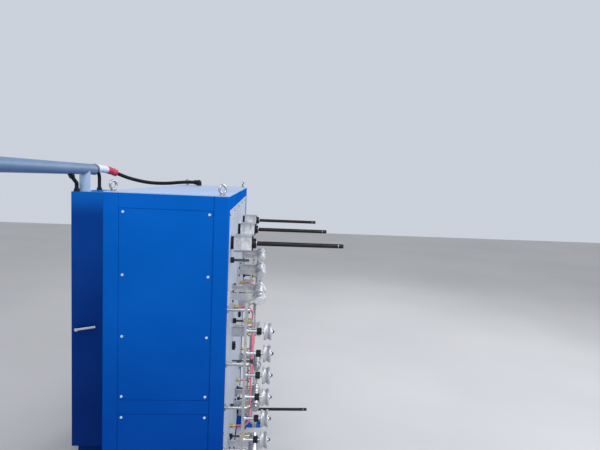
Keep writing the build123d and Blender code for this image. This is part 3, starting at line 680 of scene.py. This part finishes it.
def stand_screws(name, tree, spots, sizes, material, body):
    """Screws on one body: spots are pairs of a place and the way that the head faces."""
    cloud = bpy.data.meshes.new(f"{name}_spots")
    cloud.from_pydata([spot for spot, _ in spots], [], [])
    cloud.attributes.new("facing", "FLOAT_VECTOR", "POINT")
    cloud.attributes.new("spin", "FLOAT", "POINT")
    ways, spins = cloud.attributes["facing"].data, cloud.attributes["spin"].data
    for i, (spot, way) in enumerate(spots):
        ways[i].vector = way
        spins[i].value = (i * GOLDEN_ANGLE + spot.z * TURN_PER_METRE) % math.pi
    mesh = from_tree(name, tree, {**sizes, "Finish": material}, cloud)
    mesh.name = name
    add_piece(name, mesh, material, body)
    print(name, len(spots), "screws", len(mesh.polygons), "faces")


# %% [markdown]
# Each panel has two columns of pan heads, about 12 mm in from its edges, four to a column.
# The two ends have one panel above another, and the left side has three bays of them.

# %% Panel screws
LEVELS = [(81.5, 753.5), (806.5, 1478.5)]
END_EDGES = (53.5, 366.5)
SIDE_BAYS = [(53.5, 522.5), (575.5, 1044.5), (1097.5, 1566.5)]
SCREW_INSET = 12
SCREWS_IN_COLUMN = 4


def column_heights(low, high):
    """Heights of the screws between a panel's two edges."""
    first, last = low + SCREW_INSET, high - SCREW_INSET
    return [first + (last - first) * i / (SCREWS_IN_COLUMN - 1) for i in range(SCREWS_IN_COLUMN)]


spots = []
for low, high in LEVELS:
    for z in column_heights(low, high):
        for x in (END_EDGES[0] + SCREW_INSET, END_EDGES[1] - SCREW_INSET):
            spots.append((place(x, 0, z), FRONT))
            spots.append((place(x, CABINET_LENGTH, z), BACK))
        for start, end in SIDE_BAYS:
            for y in (start + SCREW_INSET, end - SCREW_INSET):
                spots.append((place(0, y, z), LEFT))
stand_screws("panel_screws", pan_head, spots, PAN, screw_zinc, "cabinet")

# %% [markdown]
# Socket screws hold the parts of the working side. Each list below names one kind of part, in the
# drawing's millimetres: three columns of stations, with the spindles high and low and the tension
# parts between them. The heads have three sizes, and one of these has two finishes, so there are
# four meshes of them.

# %% Socket screws
COLUMNS = (205, 715, 1225)
SPINDLE_HEIGHTS = (1345, 152)
PIVOT_HEIGHTS = (1090, 390)
SCREW_HEIGHTS = (945, 535)
GUIDE_HEIGHTS = (1030, 945, 860, 775, 690, 605)
GUIDE_BAR_HEIGHTS = (1110, 902, 732, 562)
LINK_ENDS = ((945, 1090), (390, 535))
GUIDE_PLACE = 95
STATION_SHIFT = 290
BRACKET_SHIFTS, BRACKET_RISE = (50, 180), 30
VALVE_SHIFT, VALVE_HEIGHT = 320, 890
SENSOR_HEIGHT = 828
FOOT_X, FOOT_PLACES, FOOT_SHEET = 535, (300, 1320), 8
EDGE_COLUMNS, EDGE_LEVELS = (68, 1552), (96, 370, 644, 918, 1192, 1464)
EDGE_BETWEEN = (362, 660, 958, 1256)
CASE_MIDDLE, CASE_BACK, CASE_LEVELS = -440, -154.5, (1294, 1526)
# How far each kind of part reaches out from the working plate.
BLOCK_REACH, BRACKET_REACH, PIVOT_REACH, LINK_REACH = 80, 8, 113.6, 70
VALVE_REACH, SENSOR_REACH, GUIDE_REACH, GUIDE_BAR_REACH = 62, 14, 171.6, 76
# How far from the middle or the end of each kind of part its screws are.
BLOCK_SCREW, BRACKET_SCREW, LINK_SCREW, VALVE_SCREW = 21, 20, 40, 15
SENSOR_SCREW, FOOT_SCREW, CASE_SCREW = 9, 24, 136


def on_plate(reach, y, z):
    """A place on the working side, so far out from the plate's face."""
    return place(PLATE_FACE + reach, y, z)


medium, small = [], []
for column in COLUMNS:
    middle = column + STATION_SHIFT
    for height in SPINDLE_HEIGHTS:
        for a in (-BLOCK_SCREW, BLOCK_SCREW):
            for b in (-BLOCK_SCREW, BLOCK_SCREW):
                medium.append(on_plate(BLOCK_REACH, column + a, height + b))
    for height in PIVOT_HEIGHTS:
        for a in BRACKET_SHIFTS:
            for b in (-BRACKET_SCREW, BRACKET_SCREW):
                medium.append(on_plate(BRACKET_REACH, column + a, height + BRACKET_RISE + b))
        medium.append(on_plate(PIVOT_REACH, middle, height))
    for low, high in LINK_ENDS:
        medium += [on_plate(LINK_REACH, middle, z) for z in (low + LINK_SCREW, high - LINK_SCREW)]
    for a in (-VALVE_SCREW, VALVE_SCREW):
        small.append(on_plate(VALVE_REACH, column + VALVE_SHIFT + a, VALVE_HEIGHT + a))
    for a in (-SENSOR_SCREW, SENSOR_SCREW):
        small.append(on_plate(SENSOR_REACH, middle + a, SENSOR_HEIGHT - a))
medium += [on_plate(GUIDE_REACH, GUIDE_PLACE, z) for z in GUIDE_HEIGHTS]
on_bar = [on_plate(GUIDE_BAR_REACH, GUIDE_PLACE, z) for z in GUIDE_BAR_HEIGHTS]
on_feet = [place(FOOT_X, y + a, FOOT_SHEET) for y in FOOT_PLACES for a in (-FOOT_SCREW, FOOT_SCREW)]
edge = [on_plate(0, y, z) for y in EDGE_COLUMNS for z in EDGE_LEVELS]
edge += [on_plate(0, y, z) for y in EDGE_BETWEEN for z in (EDGE_LEVELS[0], EDGE_LEVELS[-1])]
case_columns = (CASE_MIDDLE - CASE_SCREW, CASE_MIDDLE + CASE_SCREW)
on_case = [place(x, CASE_BACK, z) for x in case_columns for z in CASE_LEVELS]


def facing(way, places):
    """Spots that all face one way."""
    return [(spot, way) for spot in places]


anchors = facing(RIGHT, on_bar) + facing(UP, on_feet)
for name, tree, spots, sizes, material, slot in (
    ("station_screws", socket_head, facing(RIGHT, medium), MEDIUM, black_steel, "black_steel"),
    ("anchor_screws", socket_head, anchors, LARGE, bright_steel, "bright_steel"),
    ("block_screws", socket_head, facing(RIGHT, small), SMALL, black_steel, "black_steel"),
    ("plate_screws", socket_head, facing(RIGHT, edge), MEDIUM, bright_steel, "bright_steel"),
    ("case_screws", pan_head, facing(BACK, on_case), PAN, screw_zinc, "bright_steel"),
):
    stand_screws(name, tree, spots, sizes, material, "cabinet")

# %% [markdown]
# Turned parts are profiles spun about an axis. A profile lists how far along the axis and how far
# from it each corner is, in millimetres, and starts and ends on the axis or closes on itself.
# A small helper writes the rings of corners straight into a mesh, so six sides give a hexagon nut
# and forty give a smooth ring. Edges over 35 degrees stay sharp. Two more helpers join rings with
# faces and turn the shape into a mesh, and later cells use them too.

# %% Turned parts
SHARP = math.radians(35)


def neighbours(ring, i):
    """A corner of a ring and the next one, or the one corner of a ring on the axis."""
    return [ring[i], ring[(i + 1) % len(ring)]] if len(ring) > 1 else ring


def join_rings(shape, rings):
    """Faces between each ring and the next."""
    for here, there in zip(rings, rings[1:]):
        for i in range(max(len(here), len(there))):
            shape.faces.new(neighbours(here, i) + neighbours(there, i)[::-1])


def mesh_of(shape, name, sharp=None):
    """A finished mesh of a shape, smooth up to an angle if one is given."""
    bmesh.ops.recalc_face_normals(shape, faces=shape.faces)
    mesh = bpy.data.meshes.new(name)
    shape.to_mesh(mesh)
    shape.free()
    if sharp:
        mesh.shade_smooth()
        mesh.set_sharp_from_angle(angle=sharp)
    return mesh


def turned(shapes):
    """One mesh of several turned parts: each has a profile, a place, an axis and its sides."""
    shape = bmesh.new()
    for profile, centre, axis, sides in shapes:
        along = Vector(axis).normalized()
        across = along.orthogonal().normalized()
        beside = along.cross(across)
        rings = []
        for reach, radius in profile:
            middle = centre + along * reach * MM
            ring = []
            for i in range(sides if radius else 1):
                angle = 2 * math.pi * i / sides
                outwards = across * math.cos(angle) + beside * math.sin(angle)
                ring.append(shape.verts.new(middle + outwards * radius * MM))
            rings.append(ring)
        closed = len(rings[0]) > 1
        join_rings(shape, rings + rings[:1] if closed else rings)
    return mesh_of(shape, "turned", SHARP)


nuts, washers = [], []
for column in COLUMNS:
    for height in SCREW_HEIGHTS:
        spot = on_plate(0, column + STATION_SHIFT, height)
        washers.append(([(84, 5.2), (84, 10.5), (85.6, 10.5), (85.6, 5.2)], spot, RIGHT, 32))
        nut = [(85.6, 5.1), (85.6, 8.6), (86.2, 9.3), (92, 9.3), (92.8, 8.4), (92.8, 5.1)]
        nuts.append((nut, spot, RIGHT, 6))
add_piece("tension_nuts", turned(nuts), bright_steel, "cabinet")
add_piece("tension_washers", turned(washers), zinc_sheet, "cabinet")
print("nuts", len(nuts), "washers", len(washers))

# %% [markdown]
# Every grooved wheel runs on a sealed ball bearing. Its black seal shows as a ring round the axle's
# cap. The ring sits on the wheel's outer face and turns with the wheel, so each one is a piece of
# its own.

# %% Wheel bearings
CAP_RADIUS = {"dancer_wheel": 8, "guide_wheel": 9}
WHEELS_OF_A_KIND = 6
CAP_GAP = 0.5


def bearing_ring(inner):
    """The seal's profile, with a raised rim inside and outside."""
    rim = [(0.2, 11.6), (0.6, 11.9), (0.5, 12.5), (-0.5, 12.5)]
    return [(-0.5, inner), (0.5, inner), (0.6, inner + 0.5), (0.2, inner + 0.9)] + rim


for kind, cap in CAP_RADIUS.items():
    for number in range(1, WHEELS_OF_A_KIND + 1):
        low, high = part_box(f"{kind}_{number}")
        face = Vector((high[0], (low[1] + high[1]) / 2, (low[2] + high[2]) / 2))
        ring = turned([(bearing_ring(cap + CAP_GAP), face, RIGHT, 40)])
        name = f"{kind}_bearing_{number}"
        add_piece(name, ring, black_plastic, f"{kind}_{number}")
print("bearings", len(CAP_RADIUS) * WHEELS_OF_A_KIND)

# %% [markdown]
# A spindle has a retaining ring near its tip, where the reel's nut stops, and a bright thrust
# washer between its collar and the reel. Both turn with the spindle.

# %% Spindle rings
number = 0
for height in SPINDLE_HEIGHTS:
    for column in COLUMNS:
        number += 1
        spot = on_plate(0, column, height)
        thrust = [(96.3, 9.1), (96.3, 15.5), (96.9, 16), (98.6, 16), (99.2, 15.5), (99.2, 9.1)]
        keeper = [(418, 8.9), (418, 10.2), (419.4, 10.2), (419.4, 8.9)]
        rings = turned([(thrust, spot, RIGHT, 40), (keeper, spot, RIGHT, 40)])
        name = f"spindle_rings_{number}"
        add_piece(name, rings, bright_steel, f"spindle_{number}")
print("spindle rings", number)

# %% [markdown]
# Cable glands are moulded: a hexagon sits on the sheet, and a clamping nut with a dozen flats is
# screwed over the seal. The solids are plain cylinders, so the hexagons and clamping nuts go round
# them. The gland under the arm leans along its cable, and its axis is worked out from two places.

# %% Gland nuts
CONTROL_ROOF = 1485
ROOF_GLANDS = ((-468, 1003), (-453, 1310))
ARM_GLAND, ARM_GLAND_AIM = (-440, 850, 1577.5), (-455, 940, 1545)
gland_nuts = []
for x, y in ROOF_GLANDS:
    spot = place(x, y, CONTROL_ROOF)
    hexagon = [(0, 12), (0, 16.5), (0.8, 17.4), (5, 17.4), (5.8, 16.5), (5.8, 12)]
    gland_nuts.append((hexagon, spot, UP, 6))
    clamp = [(7, 12), (7, 14.6), (12.5, 14.6), (15, 13.4), (16.6, 12), (16.6, 10.2), (14, 10.2)]
    gland_nuts.append((clamp, spot, UP, 12))
arm_mouth = place(*ARM_GLAND)
lean = (place(*ARM_GLAND_AIM) - arm_mouth).normalized()
arm_clamp = [(22, 12), (22, 14.4), (23, 15), (34, 15), (36.8, 13), (36.8, 10.2), (34, 10.2)]
gland_nuts.append((arm_clamp, arm_mouth, lean, 12))
add_piece("gland_nuts", turned(gland_nuts), black_plastic, "cabinet")
print("gland nuts", len(gland_nuts))

# %% [markdown]
# Each air block has two push-in fittings on its face, and the hose's brass fittings have a collar.
# Rubber pads sit under the steel levelling feet.

# %% Air fittings and foot pads
HOSE_SHIFT, HOSE_ENDS, FITTING_REACH = 330, (1000, 420), 12
FOOT_INSET = 26
fittings, pads = [], []
for column in COLUMNS:
    for z, shift in ((882, -5.4), (900, 5.4)):
        spot = on_plate(VALVE_REACH, column + VALVE_SHIFT + shift, z)
        push_in = [(0, 0), (0, 5.5), (5, 5.5), (6, 6.5), (11, 6.5), (12.5, 5.6), (12.5, 3)]
        push_in += [(9, 3), (9, 0)]
        fittings.append((push_in, spot, RIGHT, 24))
    for z in HOSE_ENDS:
        spot = on_plate(FITTING_REACH, column + HOSE_SHIFT, z)
        collar = [(0, 5.2), (0, 8), (5, 8), (7.5, 6.6), (10, 6.6), (10, 5.2)]
        fittings.append((collar, spot, RIGHT, 24))
add_piece("push_in_fittings", turned(fittings), brass, "cabinet")
for x in (FOOT_INSET, CABINET_WIDTH - FOOT_INSET):
    for y in (FOOT_INSET, CABINET_LENGTH - FOOT_INSET):
        pad = [(0, 0), (0, 24.4), (0.8, 25), (4, 25), (5, 24.2), (5, 0)]
        pads.append((pad, place(x, y, 0), UP, 40))
add_piece("foot_pads", turned(pads), cable_rubber, "cabinet")
print("fittings", len(fittings), "pads", len(pads))

# %% [markdown]
# The link cable runs from the arm's rear end to the elbow on the roof. It is one smooth curve
# along the route that the solid follows, and it hangs free between its two ends. A NURBS curve of
# order 3 is used because its bends are even: it rounds every corner of the route without a kink.
# Its order is set after its points, because a new spline would drop it otherwise.

# %% Link cable
LINK_ROUTE = [
    (-427, 1182, 1614),
    (-427, 1262, 1614),
    (-413, 1344, 1609),
    (-370, 1398, 1587),
    (-314, 1430, 1562),
    (-208, 1472, 1538),
    (-96, 1502, 1537),
    (20, 1520, 1553),
    (80, 1520, 1553),
]
LINK_DIAMETER = 0.022


def route_curve(name, route):
    """A smooth curve along a route of the drawing."""
    curve = bpy.data.curves.new(name, "CURVE")
    curve.dimensions = "3D"
    curve.resolution_u = 12
    spline = curve.splines.new("NURBS")
    spline.points.add(len(route) - 1)
    for point, corner in zip(spline.points, route):
        point.co = (*place(*corner), 1)
    spline.order_u = 3
    spline.use_endpoint_u = True
    return curve


link_curve = route_curve("link_cable_cord", LINK_ROUTE)
line_object = new_object("link_line", link_curve)
line_mesh = plain_mesh(line_object)
link_line = [vertex.co.copy() for vertex in line_mesh.vertices]
bpy.data.objects.remove(line_object)
bpy.data.meshes.remove(line_mesh)
link_curve.bevel_depth = LINK_DIAMETER / 2
link_curve.bevel_resolution = 6
link_curve.use_fill_caps = True
link_curve.materials.append(cable_rubber)
link_cable = new_object("link_cable_cord", link_curve)
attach(link_cable, "cabinet")
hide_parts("link_cable")
print("link line", len(link_line), "points")

# %% [markdown]
# Near the arm, the cable wears two soft sleeves, a white one and a red one. They are loose, so
# their radius swells and shrinks a little along them, and shallow folds run along them. The sleeves
# follow the same smooth line as the cable: a ring of corners is stood square to the line at every
# point, and neighbouring rings are joined.

# %% Sleeves on the cable
white_sleeve = finish(
    "white_sleeve", (0.66, 0.69, 0.74), (0.76, 0.79, 0.84), (0.5, 0.66),
    drift=0.03, grain=0.004, relief=0.0002,
)
red_sleeve = finish(
    "red_sleeve", (0.5, 0.02, 0.05), (0.66, 0.04, 0.09), (0.45, 0.6),
    drift=0.03, grain=0.004, relief=0.0002,
)
SLEEVE_SIDES = 28
SLEEVE_STEPS = 16
SLEEVE_RADIUS = 0.0215
SLEEVE_SWELL = 0.0012
SWELL_STEP = 1.3
SLEEVE_END_RADIUS = 0.019
SLEEVE_SHARP = math.radians(50)
FOLDS = 3
FOLD_DEPTH = 0.03
FOLD_SPREAD = 40
FOLD_TWIST = 0.9


def part_of_line(line, start, end, steps):
    """Points along a line from one length to another, in metres."""
    lengths = [0]
    for before, after in zip(line, line[1:]):
        lengths.append(lengths[-1] + (after - before).length)
    points = []
    for i in range(steps + 1):
        target = start + (end - start) * i / steps
        j = next(k for k in range(1, len(line)) if lengths[k] >= target)
        share = (target - lengths[j - 1]) / (lengths[j] - lengths[j - 1])
        points.append(line[j - 1].lerp(line[j], share))
    return points


def sleeve(points, radii):
    """A closed tube round a line, with its own radius at each point."""
    shape = bmesh.new()
    rings = []
    for i, (point, radius) in enumerate(zip(points, radii)):
        along = (points[min(i + 1, len(points) - 1)] - points[max(i - 1, 0)]).normalized()
        beside = along.cross(Vector((0, 0, 1))).normalized()
        above = beside.cross(along)
        ring = []
        for k in range(SLEEVE_SIDES):
            angle = 2 * math.pi * k / SLEEVE_SIDES
            outwards = beside * math.cos(angle) + above * math.sin(angle)
            turn = FOLDS * angle + FOLD_SPREAD * radius + FOLD_TWIST * i
            fold = 1 + FOLD_DEPTH * math.sin(turn)
            ring.append(shape.verts.new(point + outwards * radius * fold))
        rings.append(ring)
    join_rings(shape, rings)
    shape.faces.new(list(reversed(rings[0])))
    shape.faces.new(rings[-1])
    return mesh_of(shape, "sleeve", SLEEVE_SHARP)


for name, start, end, material, slot in (
    ("white_cable_sleeve", 0.003, 0.142, white_sleeve, "wheel_plastic"),
    ("red_cable_sleeve", 0.145, 0.222, red_sleeve, "hose"),
):
    points = part_of_line(link_line, start, end, SLEEVE_STEPS)
    waves = [math.sin(SWELL_STEP * i) for i in range(len(points))]
    radii = [SLEEVE_RADIUS + SLEEVE_SWELL * wave for wave in waves]
    radii[0] = radii[-1] = SLEEVE_END_RADIUS
    add_piece(name, sleeve(points, radii), material, "cabinet")
link_length = sum((after - before).length for before, after in zip(link_line, link_line[1:]))
print("link cable", round(link_length, 3), "m")

# %% [markdown]
# The operator's panel has a dark glass in a bezel, two rows of plain membrane keys and a stop
# button. The glass is a rounded slab, nearly black and glossy. The keys are low rounded blocks that
# repeat on a grid, so Geometry Nodes make them from one block, a grid of points and a named pitch.

# %% Operator's panel
screen_glass = finish(
    "screen_glass", (0.006, 0.007, 0.009), (0.01, 0.011, 0.014), (0.04, 0.08),
    drift=0.1, grain=0.01, relief=0.000002,
)
shader_of(screen_glass).inputs["Coat Weight"].default_value = 0.5
bezel_plastic = finish(
    "bezel_plastic", (0.03, 0.032, 0.036), (0.045, 0.048, 0.053), (0.4, 0.52), grain=0.0012
)
key_plastic = finish(
    "key_plastic", (0.5, 0.52, 0.55), (0.58, 0.6, 0.63), (0.42, 0.55),
    drift=0.02, grain=0.0012, relief=0.00002,
)
stop_red = finish(
    "stop_red", (0.55, 0.012, 0.012), (0.64, 0.02, 0.02), (0.25, 0.36), drift=0.03, relief=0.00001
)
stop_yellow = finish(
    "stop_yellow", (0.72, 0.48, 0.02), (0.8, 0.55, 0.03), (0.3, 0.42), drift=0.03, relief=0.00001
)
PANEL_FACE = -254.5
SCREEN_HEIGHT = 1440
KEYS_HEIGHT = 1322
KEYS_PLACE = -468
BUTTON_PLACE = -345
KEY_EDGE = 0.0006


def rounded_outline(width, height, radius, steps=6):
    """Corners of a rounded rectangle about the middle, as X and Z."""
    points = []
    for quarter, (sx, sz) in enumerate(((1, 1), (-1, 1), (-1, -1), (1, -1))):
        for i in range(steps + 1):
            angle = math.pi / 2 * (quarter + i / steps)
            x = sx * (width / 2 - radius) + radius * math.cos(angle)
            z = sz * (height / 2 - radius) + radius * math.sin(angle)
            points.append((x, z))
    return points


def slab(x, z, near, far, outline, hole=None):
    """A slab in front of the panel, or a frame where it has a hole, from near to far."""
    shape = bmesh.new()
    loops = []
    for y, shrink in ((far, 1), (near + 0.6, 1), (near, 0.992)):
        corners = [place(x + a * shrink, y, z + b * shrink) for a, b in outline]
        loops.append([shape.verts.new(corner) for corner in corners])
    if hole:
        for y in (near, far):
            loops.append([shape.verts.new(place(x + a, y, z + b)) for a, b in hole])
        loops.append(loops[0])
    join_rings(shape, loops)
    if not hole:
        shape.faces.new(loops[0])
        shape.faces.new(list(reversed(loops[-1])))
    return mesh_of(shape, "slab")


outline = rounded_outline(217, 137, 3)
glass = slab(CASE_MIDDLE, SCREEN_HEIGHT, PANEL_FACE + 0.6, PANEL_FACE + 3, outline)
add_piece("screen_glass", glass, screen_glass, "cabinet")
outline, hole = rounded_outline(236, 156, 9), rounded_outline(208, 128, 4)
bezel = slab(CASE_MIDDLE, SCREEN_HEIGHT, PANEL_FACE - 2.4, PANEL_FACE, outline, hole)
add_piece("screen_bezel", bezel, bezel_plastic, "cabinet")
button = place(BUTTON_PLACE, PANEL_FACE, KEYS_HEIGHT)
base = [(0, 0), (0, 26), (2.4, 26), (3, 25.4), (3, 13), (9, 13), (9, 0)]
add_piece("stop_base", turned([(base, button, FRONT, 48)]), stop_yellow, "cabinet")
dome = [(9, 0), (9, 12), (13, 19), (19, 20), (23, 18.5), (25.5, 14), (26.6, 8), (27, 0)]
add_piece("stop_button", turned([(dome, button, FRONT, 48)]), stop_red, "cabinet")


def key_tree():
    """A tree that repeats one rounded key over a grid."""
    tree = bpy.data.node_groups.new("membrane_keys", "GeometryNodeTree")
    for name, value in (
        ("Key Width", 0.018),
        ("Key Height", 0.012),
        ("Key Depth", 0.002),
        ("Pitch X", 0.026),
        ("Pitch Z", 0.022),
    ):
        tree_input(tree, name, "NodeSocketFloat", value)
    tree_input(tree, "Columns", "NodeSocketInt", 6)
    tree_input(tree, "Rows", "NodeSocketInt", 2)
    tree_input(tree, "Middle", "NodeSocketVector")
    tree_input(tree, "Finish", "NodeSocketMaterial")
    tree.interface.new_socket("Keys", in_out="OUTPUT", socket_type="NodeSocketGeometry")
    given = tree.nodes.new("NodeGroupInput").outputs
    grid = tree.nodes.new("GeometryNodeMeshGrid")
    for pitch, count, axis in (("Pitch X", "Columns", "Size X"), ("Pitch Z", "Rows", "Size Y")):
        gaps = calculated(tree, "SUBTRACT", given[count], 1)
        tree.links.new(calculated(tree, "MULTIPLY", gaps, given[pitch]), grid.inputs[axis])
    tree.links.new(given["Columns"], grid.inputs["Vertices X"])
    tree.links.new(given["Rows"], grid.inputs["Vertices Y"])
    stand = tree.nodes.new("GeometryNodeTransform")
    stand.inputs["Rotation"].default_value = (math.pi / 2, 0, 0)
    tree.links.new(grid.outputs["Mesh"], stand.inputs["Geometry"])
    tree.links.new(given["Middle"], stand.inputs["Translation"])
    key = box_of(tree, [given[name] for name in ("Key Width", "Key Depth", "Key Height")])
    repeat = tree.nodes.new("GeometryNodeInstanceOnPoints")
    tree.links.new(stand.outputs[0], repeat.inputs["Points"])
    tree.links.new(key, repeat.inputs["Instance"])
    end_tree(tree, repeat.outputs[0], given)
    return tree


middle = tuple(place(KEYS_PLACE, PANEL_FACE - 1, KEYS_HEIGHT))
empty = bpy.data.meshes.new("panel_keys_empty")
keys = from_tree("panel_keys", key_tree(), {"Middle": middle, "Finish": key_plastic}, empty)
bevelled = bmesh.new()
bevelled.from_mesh(keys)
bmesh.ops.bevel(bevelled, geom=bevelled.edges[:], offset=KEY_EDGE, segments=2, affect="EDGES")
bevelled.to_mesh(keys)
bevelled.free()
add_piece("panel_keys", keys, key_plastic, "cabinet")
print("panel keys", len(keys.polygons), "faces")

# %% [markdown]
# When the door is open, a black foam gasket shows inside its folded pan. It is a flat frame with
# rounded edges, glued just inside the border.

# %% Door gasket
DOOR = (-483, -22, 62, 1485)
DOOR_INSIDE = 970
BORDER = 20
GASKET = 9
gasket = bmesh.new()
loops = []
for inset, depth in ((0, 0), (0, 5), (1.5, 7), (GASKET - 1.5, 7), (GASKET, 5), (GASKET, 0)):
    edge_gap = BORDER + inset
    x0, x1, z0, z1 = DOOR[0] + edge_gap, DOOR[1] - edge_gap, DOOR[2] + edge_gap, DOOR[3] - edge_gap
    corners = ((x0, z0), (x1, z0), (x1, z1), (x0, z1))
    loops.append([gasket.verts.new(place(x, DOOR_INSIDE + depth, z)) for x, z in corners])
join_rings(gasket, loops + loops[:1])
gasket_mesh = mesh_of(gasket, "gasket")
add_piece("door_gasket", gasket_mesh, cable_rubber, "control_door")
print("gasket", len(gasket_mesh.polygons), "faces")

# %% [markdown]
# The floor is a plain pale sheet, large enough to fill the view. It catches the machine's shadow
# and bounces light up under it.

# %% Floor
FLOOR_SIZE = 24
floor_paint = finish("floor_paint", (0.5, 0.51, 0.54), (0.54, 0.55, 0.58), (0.5, 0.6), drift=1.5)
floor_mesh = bpy.data.meshes.new("floor")
half = FLOOR_SIZE / 2
corners = [(-half, -half, 0), (half, -half, 0), (half, half, 0), (-half, half, 0)]
floor_mesh.from_pydata(corners, [], [(0, 1, 2, 3)])
floor_mesh.materials.append(floor_paint)
floor = new_object("floor", floor_mesh)
floor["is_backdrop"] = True
print("floor", FLOOR_SIZE, "m wide")

# %% [markdown]
# The last cell prints the dressed model's box beside the solids' box. They should agree closely,
# because finishes and fittings never change the machine's size.

# %% Sizes and finish
visual_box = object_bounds()
sizes = {
    "cad": [list(corner) for corner in cad_box],
    "visual": [list(corner) for corner in visual_box],
}
print("boxes", sizes)
